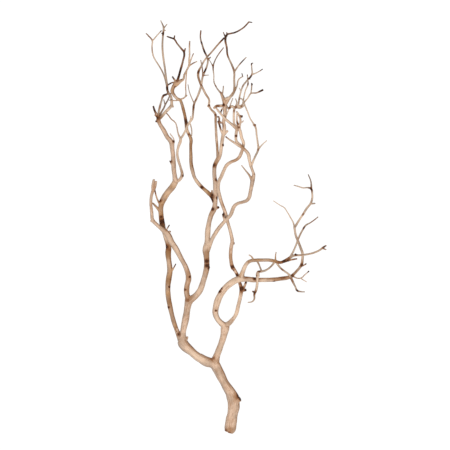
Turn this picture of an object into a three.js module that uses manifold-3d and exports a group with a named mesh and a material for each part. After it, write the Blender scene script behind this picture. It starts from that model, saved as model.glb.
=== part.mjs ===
// A fallen tree branch, dry and stripped of bark, lying on a level surface.
// It forks low down into two arms, and the arms fork again and again into long crossing
// limbs that end in sprays of fine twigs. The sawn butt is at -Y and the twigs reach to +Y.
// Units are millimetres, +Z is up, and Z = 0 is the surface that the branch lies on.
// The branch touches that surface at three places: under its butt, under the low bend of
// the left outer limb, and under the hanging tail of the looping limb.

import * as THREE from 'three';
import { mergeVertices } from 'three/addons/utils/BufferGeometryUtils.js';
import Module from 'manifold-3d';

// Driving dimensions
const GAP = 0.3; // clear space between two neighbouring limbs where they meet
const HEAVY_RADIUS = 7; // a limb at least this thick gets the roundest section
const MIDDLE_RADIUS = 4;
const LIGHT_RADIUS = 1.9;
const HEAVY_SIDES = 9;
const MIDDLE_SIDES = 6;
const LIGHT_SIDES = 5;
const TWIG_SIDES = 4;
const HEAVY_RING_STEP = 16; // longest usual distance from one ring of corners to the next
const MIDDLE_RING_STEP = 20;
const LIGHT_RING_STEP = 24;

// Wood finishes, from the thick pale limbs to the dark thin tips
const PALE_WOOD = { color: 0xd9b795, roughness: 0.78 };
const GREY_WOOD = { color: 0xc2ab98, roughness: 0.82 };
const HONEY_WOOD = { color: 0xa98560, roughness: 0.8 };
const BROWN_TWIG = { color: 0x86705f, roughness: 0.85 };
const DARK_TWIG = { color: 0x5f4a3a, roughness: 0.85 };

// The limbs. A limb is a list of stations along its middle line, each x, y, z and the radius
// there. In a node, the first limb is the main one and the others are stubs, knots or side
// twigs grown on it. A limb starts inside the one it grows from and is trimmed to fit it.
// Nodes are in order of growth: a node is trimmed by the nodes above it, never by those below.
const NODES = [
  {
    name: 'stem',
    finish: PALE_WOOD,
    limbs: [
      [[-14, 0, 11.5, 8.6], [-11.5, 6, 12.4, 11.9], [-9.5, 18, 12.9, 12.9], [-5, 40, 15.2, 12.1],
        [-3, 60, 18.1, 12.9], [-6.5, 80, 20.8, 12.2], [-19, 102, 25, 10.4],
        [-29.5, 121, 29, 9.7], [-39, 140, 33, 10.4], [-45, 151, 36, 11.3]],
      [[-3, 66, 19.1, 8.1], [4, 70, 22, 7.6], [10.5, 74, 24, 6.7]],
      [[-12, 30, 15.1, 4.9], [-20, 31, 16, 3.2]],
    ],
  },
  {
    name: 'left_arm',
    finish: PALE_WOOD,
    limbs: [
      [[-45, 151, 36, 10.8], [-62, 155.5, 37, 10.3], [-80, 165, 38.5, 9.3], [-98, 180, 40, 9.6],
        [-113, 194, 41, 10.9], [-117.5, 202, 41.5, 9.9]],
      [[-109, 199, 42, 2.9], [-104, 211, 45, 1.8]],
    ],
  },
  {
    name: 'right_arm',
    finish: PALE_WOOD,
    limbs: [
      [[-45, 151, 36, 9.8], [-40.5, 168, 38.5, 7.3], [-36, 180, 40, 6.7], [-32, 190, 42, 6.8],
        [-28, 201, 44, 7.3], [-25, 213, 46.5, 7.5], [-22.5, 226, 49, 8.8], [-21, 234, 50, 8.8]],
    ],
  },
  {
    name: 'left_outer_limb',
    finish: HONEY_WOOD,
    limbs: [
      [[-118, 203, 40, 6.5], [-125, 217, 36, 4.6], [-132, 235, 32, 4.6], [-139, 260, 27, 5.1],
        [-143.5, 280, 24, 5.4], [-147, 300, 21.5, 5.3], [-148, 320, 19.5, 5.6],
        [-145.5, 340, 17.6, 6.1], [-143.5, 355, 16.1, 6], [-145, 370, 14.2, 5.4],
        [-147, 395, 11.8, 6], [-146, 407, 10.7, 5.4], [-152, 430, 8.3, 5.4],
        [-160, 457, 6.4, 5.4], [-163, 480, 5.2, 5.2], [-163, 497, 6.2, 6], [-158, 512, 8.4, 6.8],
        [-149, 527, 12.3, 6.5], [-138, 540, 17.1, 6.5], [-131, 552, 22, 6.5]],
      [[-164, 484, 5.2, 3.2], [-170, 492, 7.1, 2.6], [-176, 499, 9.1, 2.3], [-182, 505, 11, 1.7]],
      [[-165, 500, 7.1, 2.2], [-172, 515, 11, 1.6], [-176, 531, 15, 1.2]],
      [[-141, 352, 17, 2.2], [-135, 362, 20, 1.5], [-130, 371, 23, 1.1]],
    ],
  },
  {
    name: 'left_upper_limb',
    finish: PALE_WOOD,
    limbs: [
      [[-131, 551, 22, 5.8], [-133, 565, 27, 4.8], [-135, 580, 31, 5], [-135.5, 600, 35.5, 4.9],
        [-138, 622, 39.5, 4.6], [-141, 640, 42.5, 5.2], [-149, 650, 44.5, 4.6],
        [-157, 665, 47, 4.6], [-166, 680, 49.5, 4.2], [-169, 690, 51, 4.2]],
      [[-137, 586, 33, 2.2], [-143.5, 598, 36, 1.4]],
      [[-168, 684, 50.5, 3.2], [-171, 697, 52, 2.2], [-176, 706, 54, 1.7], [-180, 718, 57, 1.4]],
    ],
  },
  {
    name: 'left_inner_twig',
    finish: GREY_WOOD,
    limbs: [
      [[-130, 551, 22, 4.2], [-121, 557, 28, 3.4], [-116.5, 567, 32, 3], [-119, 580, 37, 2.6],
        [-125, 600, 43, 2.7], [-127, 614, 47, 2.7], [-124, 630, 51, 2.9], [-120, 641, 54, 3],
        [-119.5, 649, 56, 2.7]],
      [[-120, 646, 55, 2.3], [-125, 658, 59, 1.6], [-128, 672, 61, 1.5], [-131, 681, 62, 1.4],
        [-141, 690, 63, 1.4], [-146, 697, 64, 1.3], [-151.5, 703, 65, 1.1]],
    ],
  },
  {
    name: 'long_straight_twig',
    finish: DARK_TWIG,
    limbs: [
      [[-120, 646, 55.5, 2.4], [-114, 654, 58.5, 2.3], [-109, 664, 61, 2.3],
        [-105, 674, 63, 2.3], [-100, 682, 65, 2.3], [-94, 690, 67.5, 2.3], [-92.5, 700, 69, 2.2],
        [-91.5, 712, 71, 2.3], [-90, 722, 73, 2.3], [-84, 735, 76, 2.1], [-78, 750, 79, 2.2],
        [-74, 765, 81.5, 2.1], [-71, 782, 83.5, 2.1], [-66, 795, 85, 2], [-62, 805, 87, 1.8],
        [-59.5, 818, 88.5, 1.9], [-62, 827, 89.5, 1.8], [-67, 837, 90.5, 1.9],
        [-72, 852, 92, 1.9], [-76, 868, 94, 1.5], [-75, 884, 96, 1.5]],
      [[-71, 784, 83.5, 1.5], [-72, 802, 86, 1.3], [-75.5, 819, 89, 1.1]],
    ],
  },
  {
    name: 'centre_left_limb',
    finish: PALE_WOOD,
    limbs: [
      [[-116, 200, 41.5, 9.3], [-114.5, 220, 44, 6.6], [-110.5, 240, 47, 7.4],
        [-107, 260, 50, 7.2], [-103.5, 280, 54, 7.5], [-101, 293, 57, 8.7]],
    ],
  },
  {
    name: 'crossing_limb',
    finish: PALE_WOOD,
    limbs: [
      [[-102, 291, 57, 6.4], [-106, 305, 60, 5.6], [-105.5, 322, 60, 5.6], [-102, 340, 57, 6.1],
        [-107, 360, 53, 5.3], [-117, 380, 47, 5.3], [-129, 402, 41, 5.8], [-140, 420, 36, 6.4],
        [-149, 436, 34, 6.7], [-160, 447, 34, 4.9], [-172, 457, 35, 3.8], [-181, 467, 36, 3.6],
        [-183, 482, 38, 3.4], [-185, 512, 42, 3.2], [-181, 530, 45, 3.5], [-176, 541, 46.5, 2.8],
        [-173, 553, 48, 2.1]],
      [[-181, 529, 45, 3], [-181, 543, 47.5, 2.8], [-178.5, 557, 50, 2.4]],
    ],
  },
  {
    name: 'centre_limb',
    finish: GREY_WOOD,
    limbs: [
      [[-99, 291, 57, 7.6], [-86, 301, 60, 6.5], [-78, 311, 62, 6.4], [-73, 322, 63, 6.4],
        [-68, 338, 65, 6], [-65, 350, 66, 5.9], [-62.5, 362, 67, 5.8], [-62, 375, 68, 5.7],
        [-63, 390, 69, 6.6], [-63.5, 402, 70, 7.6], [-61, 420, 69.5, 5.9], [-60, 440, 69, 5.6],
        [-58.5, 455, 69, 5.3], [-55, 470, 68.5, 5.6], [-51.5, 480, 68, 5.3],
        [-46.5, 490, 67.5, 5.3], [-44, 501, 67, 4.9], [-43.5, 515, 67, 5.1], [-43, 535, 67, 4.9],
        [-43.5, 550, 68, 4.7], [-45, 562, 69.5, 4.3], [-45.5, 576, 71.5, 4.2],
        [-44, 588, 73.5, 4.4], [-37.5, 602, 76, 4.7]],
    ],
  },
  {
    name: 'back_limb',
    finish: HONEY_WOOD,
    limbs: [
      [[-44, 503, 67, 4.2], [-51, 519, 63, 4.2], [-60, 528, 59, 4], [-70, 537, 55, 3.8],
        [-79, 546, 51, 3.8], [-88, 559, 47, 3.7], [-93, 574, 43.5, 3.8], [-96.5, 590, 41, 3.8],
        [-97, 610, 39.5, 3.4], [-97.5, 630, 39.5, 3.4], [-97, 645, 41, 3.7],
        [-101, 655, 42, 3.3], [-106, 666, 43.5, 3.3], [-107, 678, 45.5, 3.3],
        [-109.5, 692, 48, 3.1], [-113, 708, 51, 3.3], [-117, 723, 54.5, 3.2],
        [-121, 731, 56.5, 3], [-128, 735, 58.5, 3], [-134, 742, 60.5, 3.3], [-138, 750, 62, 3.9],
        [-136, 758, 63.5, 4], [-131, 767, 65.5, 4], [-126, 774, 67, 3.8]],
      [[-51, 518, 63, 2.5], [-50.5, 533, 60, 1.7]],
      [[-121, 732, 57, 1.7], [-110, 738, 58, 1.4], [-108, 745, 59, 1.3], [-108.5, 757, 60, 1.3],
        [-108, 772, 61, 1.3], [-106, 795, 62, 1]],
      [[-122, 731, 57, 1.6], [-131, 730, 56, 1.3], [-140, 730.5, 54.5, 1.1], [-146, 731, 54, 1]],
    ],
  },
  {
    name: 'dark_forked_twig',
    finish: DARK_TWIG,
    limbs: [
      [[-127, 772, 67, 2.7], [-123, 785, 70, 2.3], [-119, 800, 73, 2.2], [-115, 815, 76, 2.1],
        [-112, 836, 80, 2], [-118, 844, 81.5, 1.9], [-127, 855, 83, 1.8], [-134, 865, 85, 1.8],
        [-142, 868, 86, 1.7], [-150, 871, 87, 1.4]],
      [[-112, 834, 80, 1.8], [-109, 845, 82, 1.3]],
      [[-134, 864, 85, 1.7], [-132.5, 873, 87, 1.3]],
    ],
  },
  {
    name: 'honey_forked_twig',
    finish: HONEY_WOOD,
    limbs: [
      [[-127, 773, 67, 2.6], [-115, 775, 66.5, 2.3], [-111, 787, 67, 2.1], [-107, 795, 68, 2],
        [-101, 808, 70, 2.1], [-101, 818, 71.5, 1.9], [-100, 830, 73.5, 1.8],
        [-100, 850, 77, 1.6], [-99.5, 861, 79, 1.4]],
      [[-101, 808, 70, 1.8], [-96, 822, 70, 1.3], [-91, 834, 70, 1.1]],
      [[-102, 805, 69.5, 1.6], [-92, 812, 68, 1.3], [-83, 816, 67, 1.1]],
    ],
  },
  {
    name: 'hooked_strand',
    finish: BROWN_TWIG,
    limbs: [
      [[-169, 690, 52, 2.6], [-168, 703, 54.5, 2.3], [-165, 717, 57, 2.2], [-162, 728, 59, 2],
        [-157, 741, 60.5, 2.3], [-151, 743.5, 61, 2], [-146, 747, 61.5, 1.8]],
    ],
  },
  {
    name: 'low_strand',
    finish: DARK_TWIG,
    limbs: [
      [[-168.5, 690, 49, 2.2], [-163, 703, 46.5, 2], [-157, 713, 45.5, 1.8],
        [-153, 722, 45, 1.7], [-148, 731, 44.5, 1.5]],
      [[-153.5, 720, 45, 1.4], [-157, 733, 48, 1]],
    ],
  },
  {
    name: 'outer_strand',
    finish: BROWN_TWIG,
    limbs: [
      [[-169, 688, 50.5, 3.7], [-160, 697, 51, 3.4], [-152, 706, 50.5, 3.3],
        [-145, 713, 50, 3.3], [-140, 720, 48.5, 3.2], [-139.5, 730, 47, 2.9],
        [-141, 739, 47.5, 2.5], [-145, 745, 48.5, 2.4], [-148.5, 752, 50.5, 2.3],
        [-149.5, 765, 54, 2.4], [-151, 775, 57, 2.2], [-153, 790, 61, 2.1],
        [-154.5, 803, 65, 2.1], [-157, 820, 69, 2.1], [-159.5, 845, 74.5, 2.1],
        [-159, 865, 79, 2], [-158, 877, 82, 2.2], [-157, 890, 86, 1.8], [-163.5, 906, 89, 1]],
      [[-157, 888, 85.5, 1.4], [-149, 898, 89, 1]],
    ],
  },
  {
    name: 'left_fork_twig',
    finish: BROWN_TWIG,
    limbs: [
      [[-149.5, 762, 53, 2.1], [-154, 778, 53, 1.7], [-159, 792, 53.5, 1.6],
        [-168, 808, 54, 1.5], [-178, 824, 55, 1.5], [-181.5, 835, 55.5, 1.5],
        [-182.5, 850, 57, 1.5], [-182, 862, 58, 1.6], [-190, 872, 59, 1.4], [-196, 878, 60, 1.2]],
      [[-182, 861, 58, 1.4], [-168, 877, 60, 1.3], [-161.5, 884, 61, 1.2]],
    ],
  },
  {
    name: 'centre_thin_limb',
    finish: GREY_WOOD,
    limbs: [
      [[-37, 600, 76, 3.8], [-38.5, 615, 75, 3], [-39.3, 630, 75, 2.8], [-41, 650, 76, 2.6],
        [-42, 668, 78, 2.6], [-42.7, 685, 81, 2.6], [-43.5, 700, 83.5, 2.6], [-53, 711, 84, 2.2],
        [-57, 719, 83, 2.5], [-57, 731, 81.5, 2.1], [-65, 745, 79, 2.4], [-71, 757, 76.5, 2.4],
        [-77, 770, 74, 2.4], [-81, 790, 72, 2.5], [-75, 804, 72, 2], [-65, 821, 73.5, 1.9],
        [-50, 838, 77, 1.8], [-40, 850, 79, 1.8], [-30, 861, 81, 1.8], [-23, 868, 82.5, 1.7]],
    ],
  },
  {
    name: 'centre_upright_limb',
    finish: PALE_WOOD,
    limbs: [
      [[-37, 601, 76, 4.4], [-32.5, 612, 78.5, 3.8], [-30.5, 625, 80.5, 3.6],
        [-28.5, 640, 83, 3.7], [-26.5, 652, 85, 3.7], [-24, 662, 87, 3.7],
        [-23.5, 672, 88.5, 3.7], [-25, 683, 90, 3.5], [-23, 695, 92, 3.5], [-22, 708, 94, 3.7],
        [-23, 722, 96, 3.9], [-23, 732, 97.5, 4.7]],
      [[-25, 654, 85.5, 3], [-15.5, 664, 87, 2.2]],
      [[-27, 656, 85.5, 2.5], [-31, 665, 86.5, 2.1], [-34, 676, 87, 2], [-38, 685, 88, 1.7]],
      [[-24, 718, 95.5, 3.2], [-34, 718, 97, 2.5], [-41, 717.5, 97.5, 2.3], [-47, 712, 97.5, 2]],
    ],
  },
  {
    name: 'upright_left_twig',
    finish: DARK_TWIG,
    limbs: [
      [[-24, 733, 98, 2.9], [-30, 745, 100.5, 2.2], [-37, 753, 102, 1.6], [-42, 761, 103, 1.4],
        [-46, 770, 104, 1.4], [-46.5, 785, 105, 1.2], [-48, 804, 106.5, 1.6],
        [-45, 815, 107.5, 1.4], [-37, 830, 109, 1.3], [-25, 846, 111, 1.1]],
      [[-48, 803, 106.5, 1.2], [-54, 815, 107, 0.9], [-58, 820, 107.5, 0.8]],
      [[-28, 742, 100, 1.8], [-26, 754, 102.5, 1.4], [-25.5, 762, 104, 1.2]],
    ],
  },
  {
    name: 'upright_right_twig',
    finish: BROWN_TWIG,
    limbs: [
      [[-23, 732, 97.5, 3.6], [-13, 736, 100, 2.9], [-3.5, 746, 102, 2.6], [-1.5, 757, 103, 2.4],
        [-2, 775, 105.5, 2.2], [-2, 793, 108, 2.2], [-7, 808, 109.5, 2], [-13, 821, 111, 1.9],
        [-16.5, 830, 112, 1.9], [-18, 845, 114, 1.9], [-21, 865, 116, 2.2], [-17, 874.5, 117, 2],
        [-10, 876.5, 117, 1.7], [0, 879, 116, 1.7], [10, 884, 114, 1.6], [20, 891, 111, 1.5],
        [31, 903, 107, 1.5]],
      [[-2, 792, 108, 1.7], [10, 809, 108.5, 1.4], [25, 825, 109, 1]],
      [[-2, 747, 102.5, 1.8], [4, 761, 102, 1.6], [8, 776, 101.5, 1.4], [18, 783, 101, 1]],
    ],
  },
  {
    name: 'inner_link_twig',
    finish: BROWN_TWIG,
    limbs: [
      [[-23.5, 682, 90, 1.6], [-19, 697, 94.5, 1.3], [-14, 710, 97, 1.3], [-9, 724, 98.5, 1.2],
        [-4.5, 735, 99, 1.1]],
    ],
  },
  {
    name: 'looping_limb',
    finish: PALE_WOOD,
    limbs: [
      [[-21, 233, 50, 7.6], [-32, 242, 53, 5.8], [-39, 251, 55, 5.8], [-43, 263, 57, 6.4],
        [-42, 276, 59, 6.7], [-38, 290, 61, 7], [-33, 301, 62, 7], [-22, 317, 64, 7],
        [-9, 328, 65, 6.9], [5, 336, 65, 7.2], [20, 337.5, 63, 5.8], [40, 336, 58, 5.5],
        [60, 335.5, 51, 4.8], [80, 336, 43, 4.4], [100, 338, 34, 4.2], [118, 341, 26, 4.1],
        [124, 344, 23, 3.5]],
    ],
  },
  {
    name: 'looping_limb_tail',
    finish: GREY_WOOD,
    limbs: [
      [[119, 341.5, 25.5, 3.3], [127, 346, 21, 2.8], [135, 354, 16, 2.8], [143, 363, 10.7, 2.9],
        [147, 370, 7.3, 3], [148.5, 380, 4.2, 2.9], [149, 392, 2.8, 2.8], [145, 405, 3.8, 2.7],
        [140, 418, 6.8, 2.6], [134, 433, 10.6, 2.3], [132, 443, 13.6, 2.3],
        [131, 453, 16.5, 2.6]],
      [[146, 366, 9.1, 1.9], [152, 368, 10.1, 1.6], [157.5, 371.5, 11.1, 1.3]],
      [[127, 346, 21, 2.1], [131, 341.5, 22, 1.5], [145, 339.5, 25, 1.3], [154, 347, 26, 1.2],
        [162, 354, 28, 1.1]],
      [[144, 339.5, 25, 1.2], [151, 335, 24, 1.1], [158, 331, 24, 0.9]],
    ],
  },
  {
    name: 'tail_left_twig',
    finish: BROWN_TWIG,
    limbs: [
      [[131.5, 450, 16, 1.9], [128, 462, 19, 1.5], [122, 473, 21.5, 1.4], [115, 485, 24, 1.2],
        [109, 494, 26, 1.2], [99, 500, 28, 1.1], [84, 510, 31, 0.9]],
    ],
  },
  {
    name: 'tail_right_twig',
    finish: DARK_TWIG,
    limbs: [
      [[131.5, 451, 16.5, 2.5], [142, 468, 20.5, 2.2], [150, 480, 23.5, 2.2],
        [158, 493, 26.5, 2.4], [166.5, 504, 29, 2.2], [170, 515, 31, 2], [170, 525, 33, 2],
        [167.5, 536, 35.5, 2.2], [160, 538.5, 36.5, 1.7], [150, 538, 37.5, 1.5],
        [140, 541, 38.5, 1.4], [129, 544, 39.5, 1.1]],
      [[166, 503, 29, 2], [177, 504, 30.5, 1.5]],
      [[168, 535, 35.5, 2], [167, 552, 39.5, 1.5], [161, 568, 43, 1.1]],
    ],
  },
  {
    name: 'middle_limb',
    finish: PALE_WOOD,
    limbs: [
      [[-21, 234, 50, 5.5], [-13, 240, 48, 4.6], [-7, 246, 46, 4.1], [-1, 254, 44, 3.9],
        [3, 262, 42, 4], [7, 277, 40, 4], [10, 290, 39, 3.9], [12.5, 302, 38.5, 4.1],
        [14, 315, 38.5, 3.9], [10, 330, 40, 3.5], [5, 347, 42.5, 3.3], [0, 356, 44, 3.3],
        [-6, 365, 45.5, 3.9], [-9, 378, 48, 3.9], [-9.5, 395, 50.5, 3.9], [-8, 410, 53, 3.9],
        [-6, 421, 54.5, 3.8], [-9, 437, 56.5, 3.5], [-13, 452, 58, 3.5], [-17, 466, 60, 3.5],
        [-21, 482, 63.5, 3.6], [-26, 496, 67.5, 3.7], [-31, 510, 72, 3.7], [-35, 525, 76, 3.6],
        [-37, 540, 78, 3.6], [-35, 553, 79, 3.6], [-30, 563, 79.5, 3.6], [-25, 575, 80, 3.5],
        [-18, 588, 81, 3.7], [-8, 595, 82, 3.4], [2, 599, 82.5, 3.3], [9, 605, 83, 3.4],
        [13.5, 614, 83.5, 3.4], [18, 628, 84, 3.3]],
      [[15, 314, 38.5, 3.1], [20, 320, 37, 2.7], [25, 333, 35, 2.1]],
      [[15, 312, 39, 3.3], [25, 313.5, 40, 2.7]],
    ],
  },
  {
    name: 'middle_upper_limb',
    finish: PALE_WOOD,
    limbs: [
      [[17.5, 626, 84, 3.1], [18.5, 637, 84.8, 3.3], [14.5, 648, 86, 3.1], [12, 660, 87, 3.1],
        [9, 670, 88, 3.4], [11.5, 680, 90, 2.3], [12, 688, 92, 2.2], [8, 699, 95, 2.1],
        [3, 706, 97.5, 1.8]],
      [[8.5, 671, 88.5, 2.6], [4.5, 684, 91, 2], [4.5, 701, 94, 1.5]],
      [[9.5, 696, 94.5, 2.3], [16.5, 694.5, 96, 2.5]],
    ],
  },
  {
    name: 'over_crossing_limb',
    finish: GREY_WOOD,
    limbs: [
      [[-61.5, 400, 70, 5.9], [-53, 419, 73, 4.3], [-50, 426, 74, 4.1], [-43, 438, 76, 4],
        [-37, 447, 77, 4], [-24, 463, 78, 3.9], [-16, 471, 78, 3.7], [-9.5, 479, 78, 3.7],
        [-6, 488, 78.5, 3.9], [-2, 497, 79, 3.9], [5, 503, 80, 3.5], [18, 507, 81, 3.4],
        [27, 511, 82, 3.7], [31.5, 518, 83, 3.9], [34, 530, 85, 3.9], [36.5, 543, 87, 4.1],
        [39, 557, 89, 4.5], [41, 567, 91, 3.2], [38, 577, 92.5, 2.8], [34.5, 587, 94, 3.1]],
      [[-22, 464, 78, 2.6], [-27, 480, 80.5, 1.8]],
      [[37, 555, 89, 3], [32.5, 564, 90.5, 2.3], [24, 575, 92, 1.7], [14, 587.5, 93, 1.3]],
    ],
  },
  {
    name: 'right_upper_limb',
    finish: PALE_WOOD,
    limbs: [
      [[34.5, 585, 93.8, 3], [31.5, 600, 95, 3.3], [29, 612, 96, 3.5], [19, 624, 96.5, 3.3],
        [10, 633, 96.5, 3.1], [3, 641, 96.5, 2.8], [2, 651, 96.5, 3], [3, 661, 96.5, 3.1],
        [3.5, 670, 96.5, 3.2], [-1.5, 678, 97, 2.5], [-2.5, 688, 98, 2.4],
        [-2.5, 702, 99.5, 2.2], [-1.5, 713, 101, 2.4]],
      [[17, 626, 97, 3.1], [6, 632, 99, 2.7], [-2, 637.5, 100, 2.2], [-11, 643, 100.5, 1.9],
        [-21, 651, 100.5, 1.5]],
      [[4, 667, 97, 3.1], [-8, 678, 99.5, 2.8], [-20, 688, 101.5, 2.5], [-31, 700, 103, 2.2],
        [-42, 714, 104, 1.9]],
    ],
  },
  {
    name: 'right_side_twig',
    finish: BROWN_TWIG,
    limbs: [
      [[35, 584, 93.5, 2.6], [39, 595, 93.5, 2.3], [44, 606, 93.5, 2.1], [51, 623, 94, 2.3],
        [50, 636, 95, 2], [48, 650, 96, 1.9], [44.5, 673, 99, 1.9], [40, 680, 100.5, 1.7],
        [33, 691, 103, 1.5], [28, 704, 105.5, 1.5], [23, 716, 108, 1.5], [19, 726, 109.5, 1.5],
        [15, 733, 110, 1.4], [9, 734.5, 110, 1.2]],
      [[51, 622, 94, 1.8], [60, 633, 95, 1.3], [70, 642, 96, 1.1]],
    ],
  },
  {
    name: 'knotty_cross_twig',
    finish: BROWN_TWIG,
    limbs: [
      [[-19, 719, 103.5, 1.8], [-14, 712.5, 103, 2.3], [-7, 717, 102, 2.5],
        [-1, 714, 101.5, 2.8], [6, 717, 101, 2.5], [13, 718, 102, 2.1], [21, 727, 103, 1.8],
        [28, 735, 104, 1.6], [35, 745, 105.5, 1.6], [47, 746.5, 106.5, 1.5],
        [55, 750, 107.5, 1.8], [62, 753.5, 108.5, 1.9]],
      [[34.5, 744, 105.5, 1.4], [36, 753, 107, 1.4], [37, 767, 109, 1.6]],
      [[3, 716, 101.5, 2.1], [10, 713, 101, 1.8], [21, 719, 101.5, 1.3]],
      [[0, 715, 102, 1.8], [4, 725, 104, 1.4], [1, 734, 106, 1.2]],
    ],
  },
  {
    name: 'upright_dark_twig',
    finish: BROWN_TWIG,
    limbs: [
      [[7, 716, 101, 1.9], [8.5, 729, 101.5, 1.9], [12, 746, 102.5, 1.8], [17, 761, 103.5, 1.8],
        [26, 773, 104.5, 1.7], [37, 787, 106, 1.8], [37, 799, 108, 1.4], [36, 811, 110, 1.3]],
      [[36, 786, 106, 1.5], [50, 792, 106.5, 1.2], [61, 799, 107, 1]],
    ],
  },
  {
    name: 'small_upright_twig',
    finish: BROWN_TWIG,
    limbs: [
      [[17, 722, 102.3, 1.5], [19, 734, 99, 1.4], [23, 752, 98, 1.4], [28.5, 766, 98.5, 1.6],
        [28, 776, 99, 1.3], [27, 787, 100, 1]],
    ],
  },
  {
    name: 'right_limb',
    finish: HONEY_WOOD,
    limbs: [
      [[11, 338, 64.5, 5.9], [17, 353, 64, 4.5], [21, 363, 64, 4.1], [26, 371.5, 64, 3.9],
        [33, 377, 64, 3.9], [45, 379, 64, 3.7], [60, 379, 64, 3.5], [75, 379, 65, 3.5],
        [87, 377, 65, 3.5], [100, 374, 65, 3.1], [108, 377, 65, 2.9], [115, 381, 66, 3],
        [123, 386, 66, 3.1]],
      [[102, 374, 64.5, 2.5], [117, 378, 61.5, 2], [127, 380.5, 59.5, 1.8], [137, 382, 58, 1.4]],
      [[89, 376, 66, 2.1], [89, 388, 69, 1.4], [90.5, 397, 71, 1.2]],
      [[41, 379, 65, 2], [36, 387, 66.5, 1.4], [30, 391, 67.5, 1.2]],
    ],
  },
  {
    name: 'right_rising_twig',
    finish: BROWN_TWIG,
    limbs: [
      [[121, 385, 66, 2.4], [128, 398, 68.5, 2], [134, 412, 71, 1.9], [140, 428, 74, 1.9],
        [149, 446, 78, 1.8], [155.5, 455.5, 80, 1.9], [165, 461, 81.5, 1.4], [175, 468, 83, 1.3],
        [183, 474.5, 84.5, 1.1]],
    ],
  },
  {
    name: 'right_level_twig',
    finish: BROWN_TWIG,
    limbs: [
      [[121.5, 385.5, 66, 2.8], [131, 389.5, 66, 2.5], [142, 390, 65, 2.1], [152, 391, 64, 2.1],
        [165, 393, 63, 2], [178, 397, 62, 2], [187, 401.5, 61, 2.1], [194, 407, 60, 2.1],
        [201, 411.5, 59, 1.5]],
    ],
  },
  {
    name: 'drooping_twig',
    finish: BROWN_TWIG,
    limbs: [
      [[90, 375, 64.5, 2.4], [100, 362, 56.5, 2], [110, 354, 49, 2], [118, 348, 41.5, 2.2],
        [123, 340, 35.5, 2.5], [128, 330, 29.5, 2.2], [133, 320, 25, 1.9], [137, 312, 22, 2],
        [145, 309.5, 20, 1.5], [154, 309, 19, 1.2]],
    ],
  },
  {
    name: 'dangling_twig',
    finish: BROWN_TWIG,
    limbs: [
      [[88, 376, 65, 2.4], [80, 366, 67, 2], [70, 358, 68, 2], [58, 354, 68, 2.3],
        [50, 352.5, 67, 2.7], [49, 342, 65.5, 2.8], [49, 330, 63, 2.7], [48, 320, 60, 2.7],
        [46, 312, 57, 2.7], [42.5, 303, 54, 2.3], [42.5, 294, 51.5, 1.9], [38, 288, 50, 1.5],
        [28, 286, 49, 1.2]],
      [[47, 379, 64.5, 2.1], [52, 371, 66, 1.9], [56, 361, 67.5, 1.7], [59, 354.5, 68, 1.9]],
    ],
  },
];

const wasm = await Module();
wasm.setup();

function sectionSides(widest) {
  if (widest >= HEAVY_RADIUS) return HEAVY_SIDES;
  if (widest >= MIDDLE_RADIUS) return MIDDLE_SIDES;
  return widest >= LIGHT_RADIUS ? LIGHT_SIDES : TWIG_SIDES;
}

function ringStep(widest) {
  if (widest >= HEAVY_RADIUS) return HEAVY_RING_STEP;
  return widest >= MIDDLE_RADIUS ? MIDDLE_RING_STEP : LIGHT_RING_STEP;
}

// Where the rings of corners go along a limb, as curve parameters from 0 to 1: one at every
// station, and more between two stations that lie far apart.
function ringPlaces(points, step) {
  const spans = points.length - 1;
  const places = [];
  for (let i = 0; i < spans; i += 1) {
    const parts = Math.max(1, Math.round(points[i].distanceTo(points[i + 1]) / step));
    for (let part = 0; part < parts; part += 1) places.push((i + part / parts) / spans);
  }
  return [...places, 1];
}

// A closed cylinder laid along a smooth curve through the stations. Its radius follows
// theirs, and extra stands it proud all over, so that it can cut a clear seat.
function limbGeometry(stations, extra = 0) {
  const points = stations.map(([x, y, z]) => new THREE.Vector3(x, y, z));
  const curve = new THREE.CatmullRomCurve3(points, false, 'centripetal');
  const widest = Math.max(...stations.map(([, , , radius]) => radius));
  const places = ringPlaces(points, ringStep(widest));
  const last = places.length - 1;
  const geometry = new THREE.CylinderGeometry(1, 1, 1, sectionSides(widest), last);
  const side = new THREE.Vector3(0, 0, 1);
  const rings = places.map((t, i) => {
    const along = curve.getTangent(t);
    side.addScaledVector(along, -side.dot(along)).normalize();
    const station = Math.min(Math.floor(t * (stations.length - 1)), stations.length - 2);
    const share = t * (stations.length - 1) - station;
    const radius = THREE.MathUtils.lerp(stations[station][3], stations[station + 1][3], share);
    const centre = curve.getPoint(t);
    if (i === 0) centre.addScaledVector(along, -extra);
    if (i === last) centre.addScaledVector(along, extra);
    const cross = along.clone().cross(side);
    return { centre, cross, side: side.clone(), radius: radius + extra };
  });
  const corners = geometry.getAttribute('position');
  const corner = new THREE.Vector3();
  for (let i = 0; i < corners.count; i += 1) {
    const ring = rings[Math.round((corners.getY(i) + 0.5) * last)];
    corner.copy(ring.centre);
    corner.addScaledVector(ring.cross, corners.getX(i) * ring.radius);
    corner.addScaledVector(ring.side, corners.getZ(i) * ring.radius);
    corners.setXYZ(i, corner.x, corner.y, corner.z);
  }
  return geometry;
}

function solidFrom(geometry) {
  const bare = new THREE.BufferGeometry();
  bare.setAttribute('position', geometry.getAttribute('position'));
  bare.setIndex(geometry.getIndex());
  const merged = mergeVertices(bare, 1e-4);
  return new wasm.Manifold(new wasm.Mesh({
    numProp: 3,
    vertProperties: merged.getAttribute('position').array,
    triVerts: new Uint32Array(merged.getIndex().array),
  }));
}

function joinLimbs(limbs, extra = 0) {
  const solids = limbs.map((stations) => solidFrom(limbGeometry(stations, extra)));
  return solids.reduce((whole, next) => whole.add(next));
}

function boxesMeet(a, b) {
  return [0, 1, 2].every((axis) => a.min[axis] < b.max[axis] && b.min[axis] < a.max[axis]);
}

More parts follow.
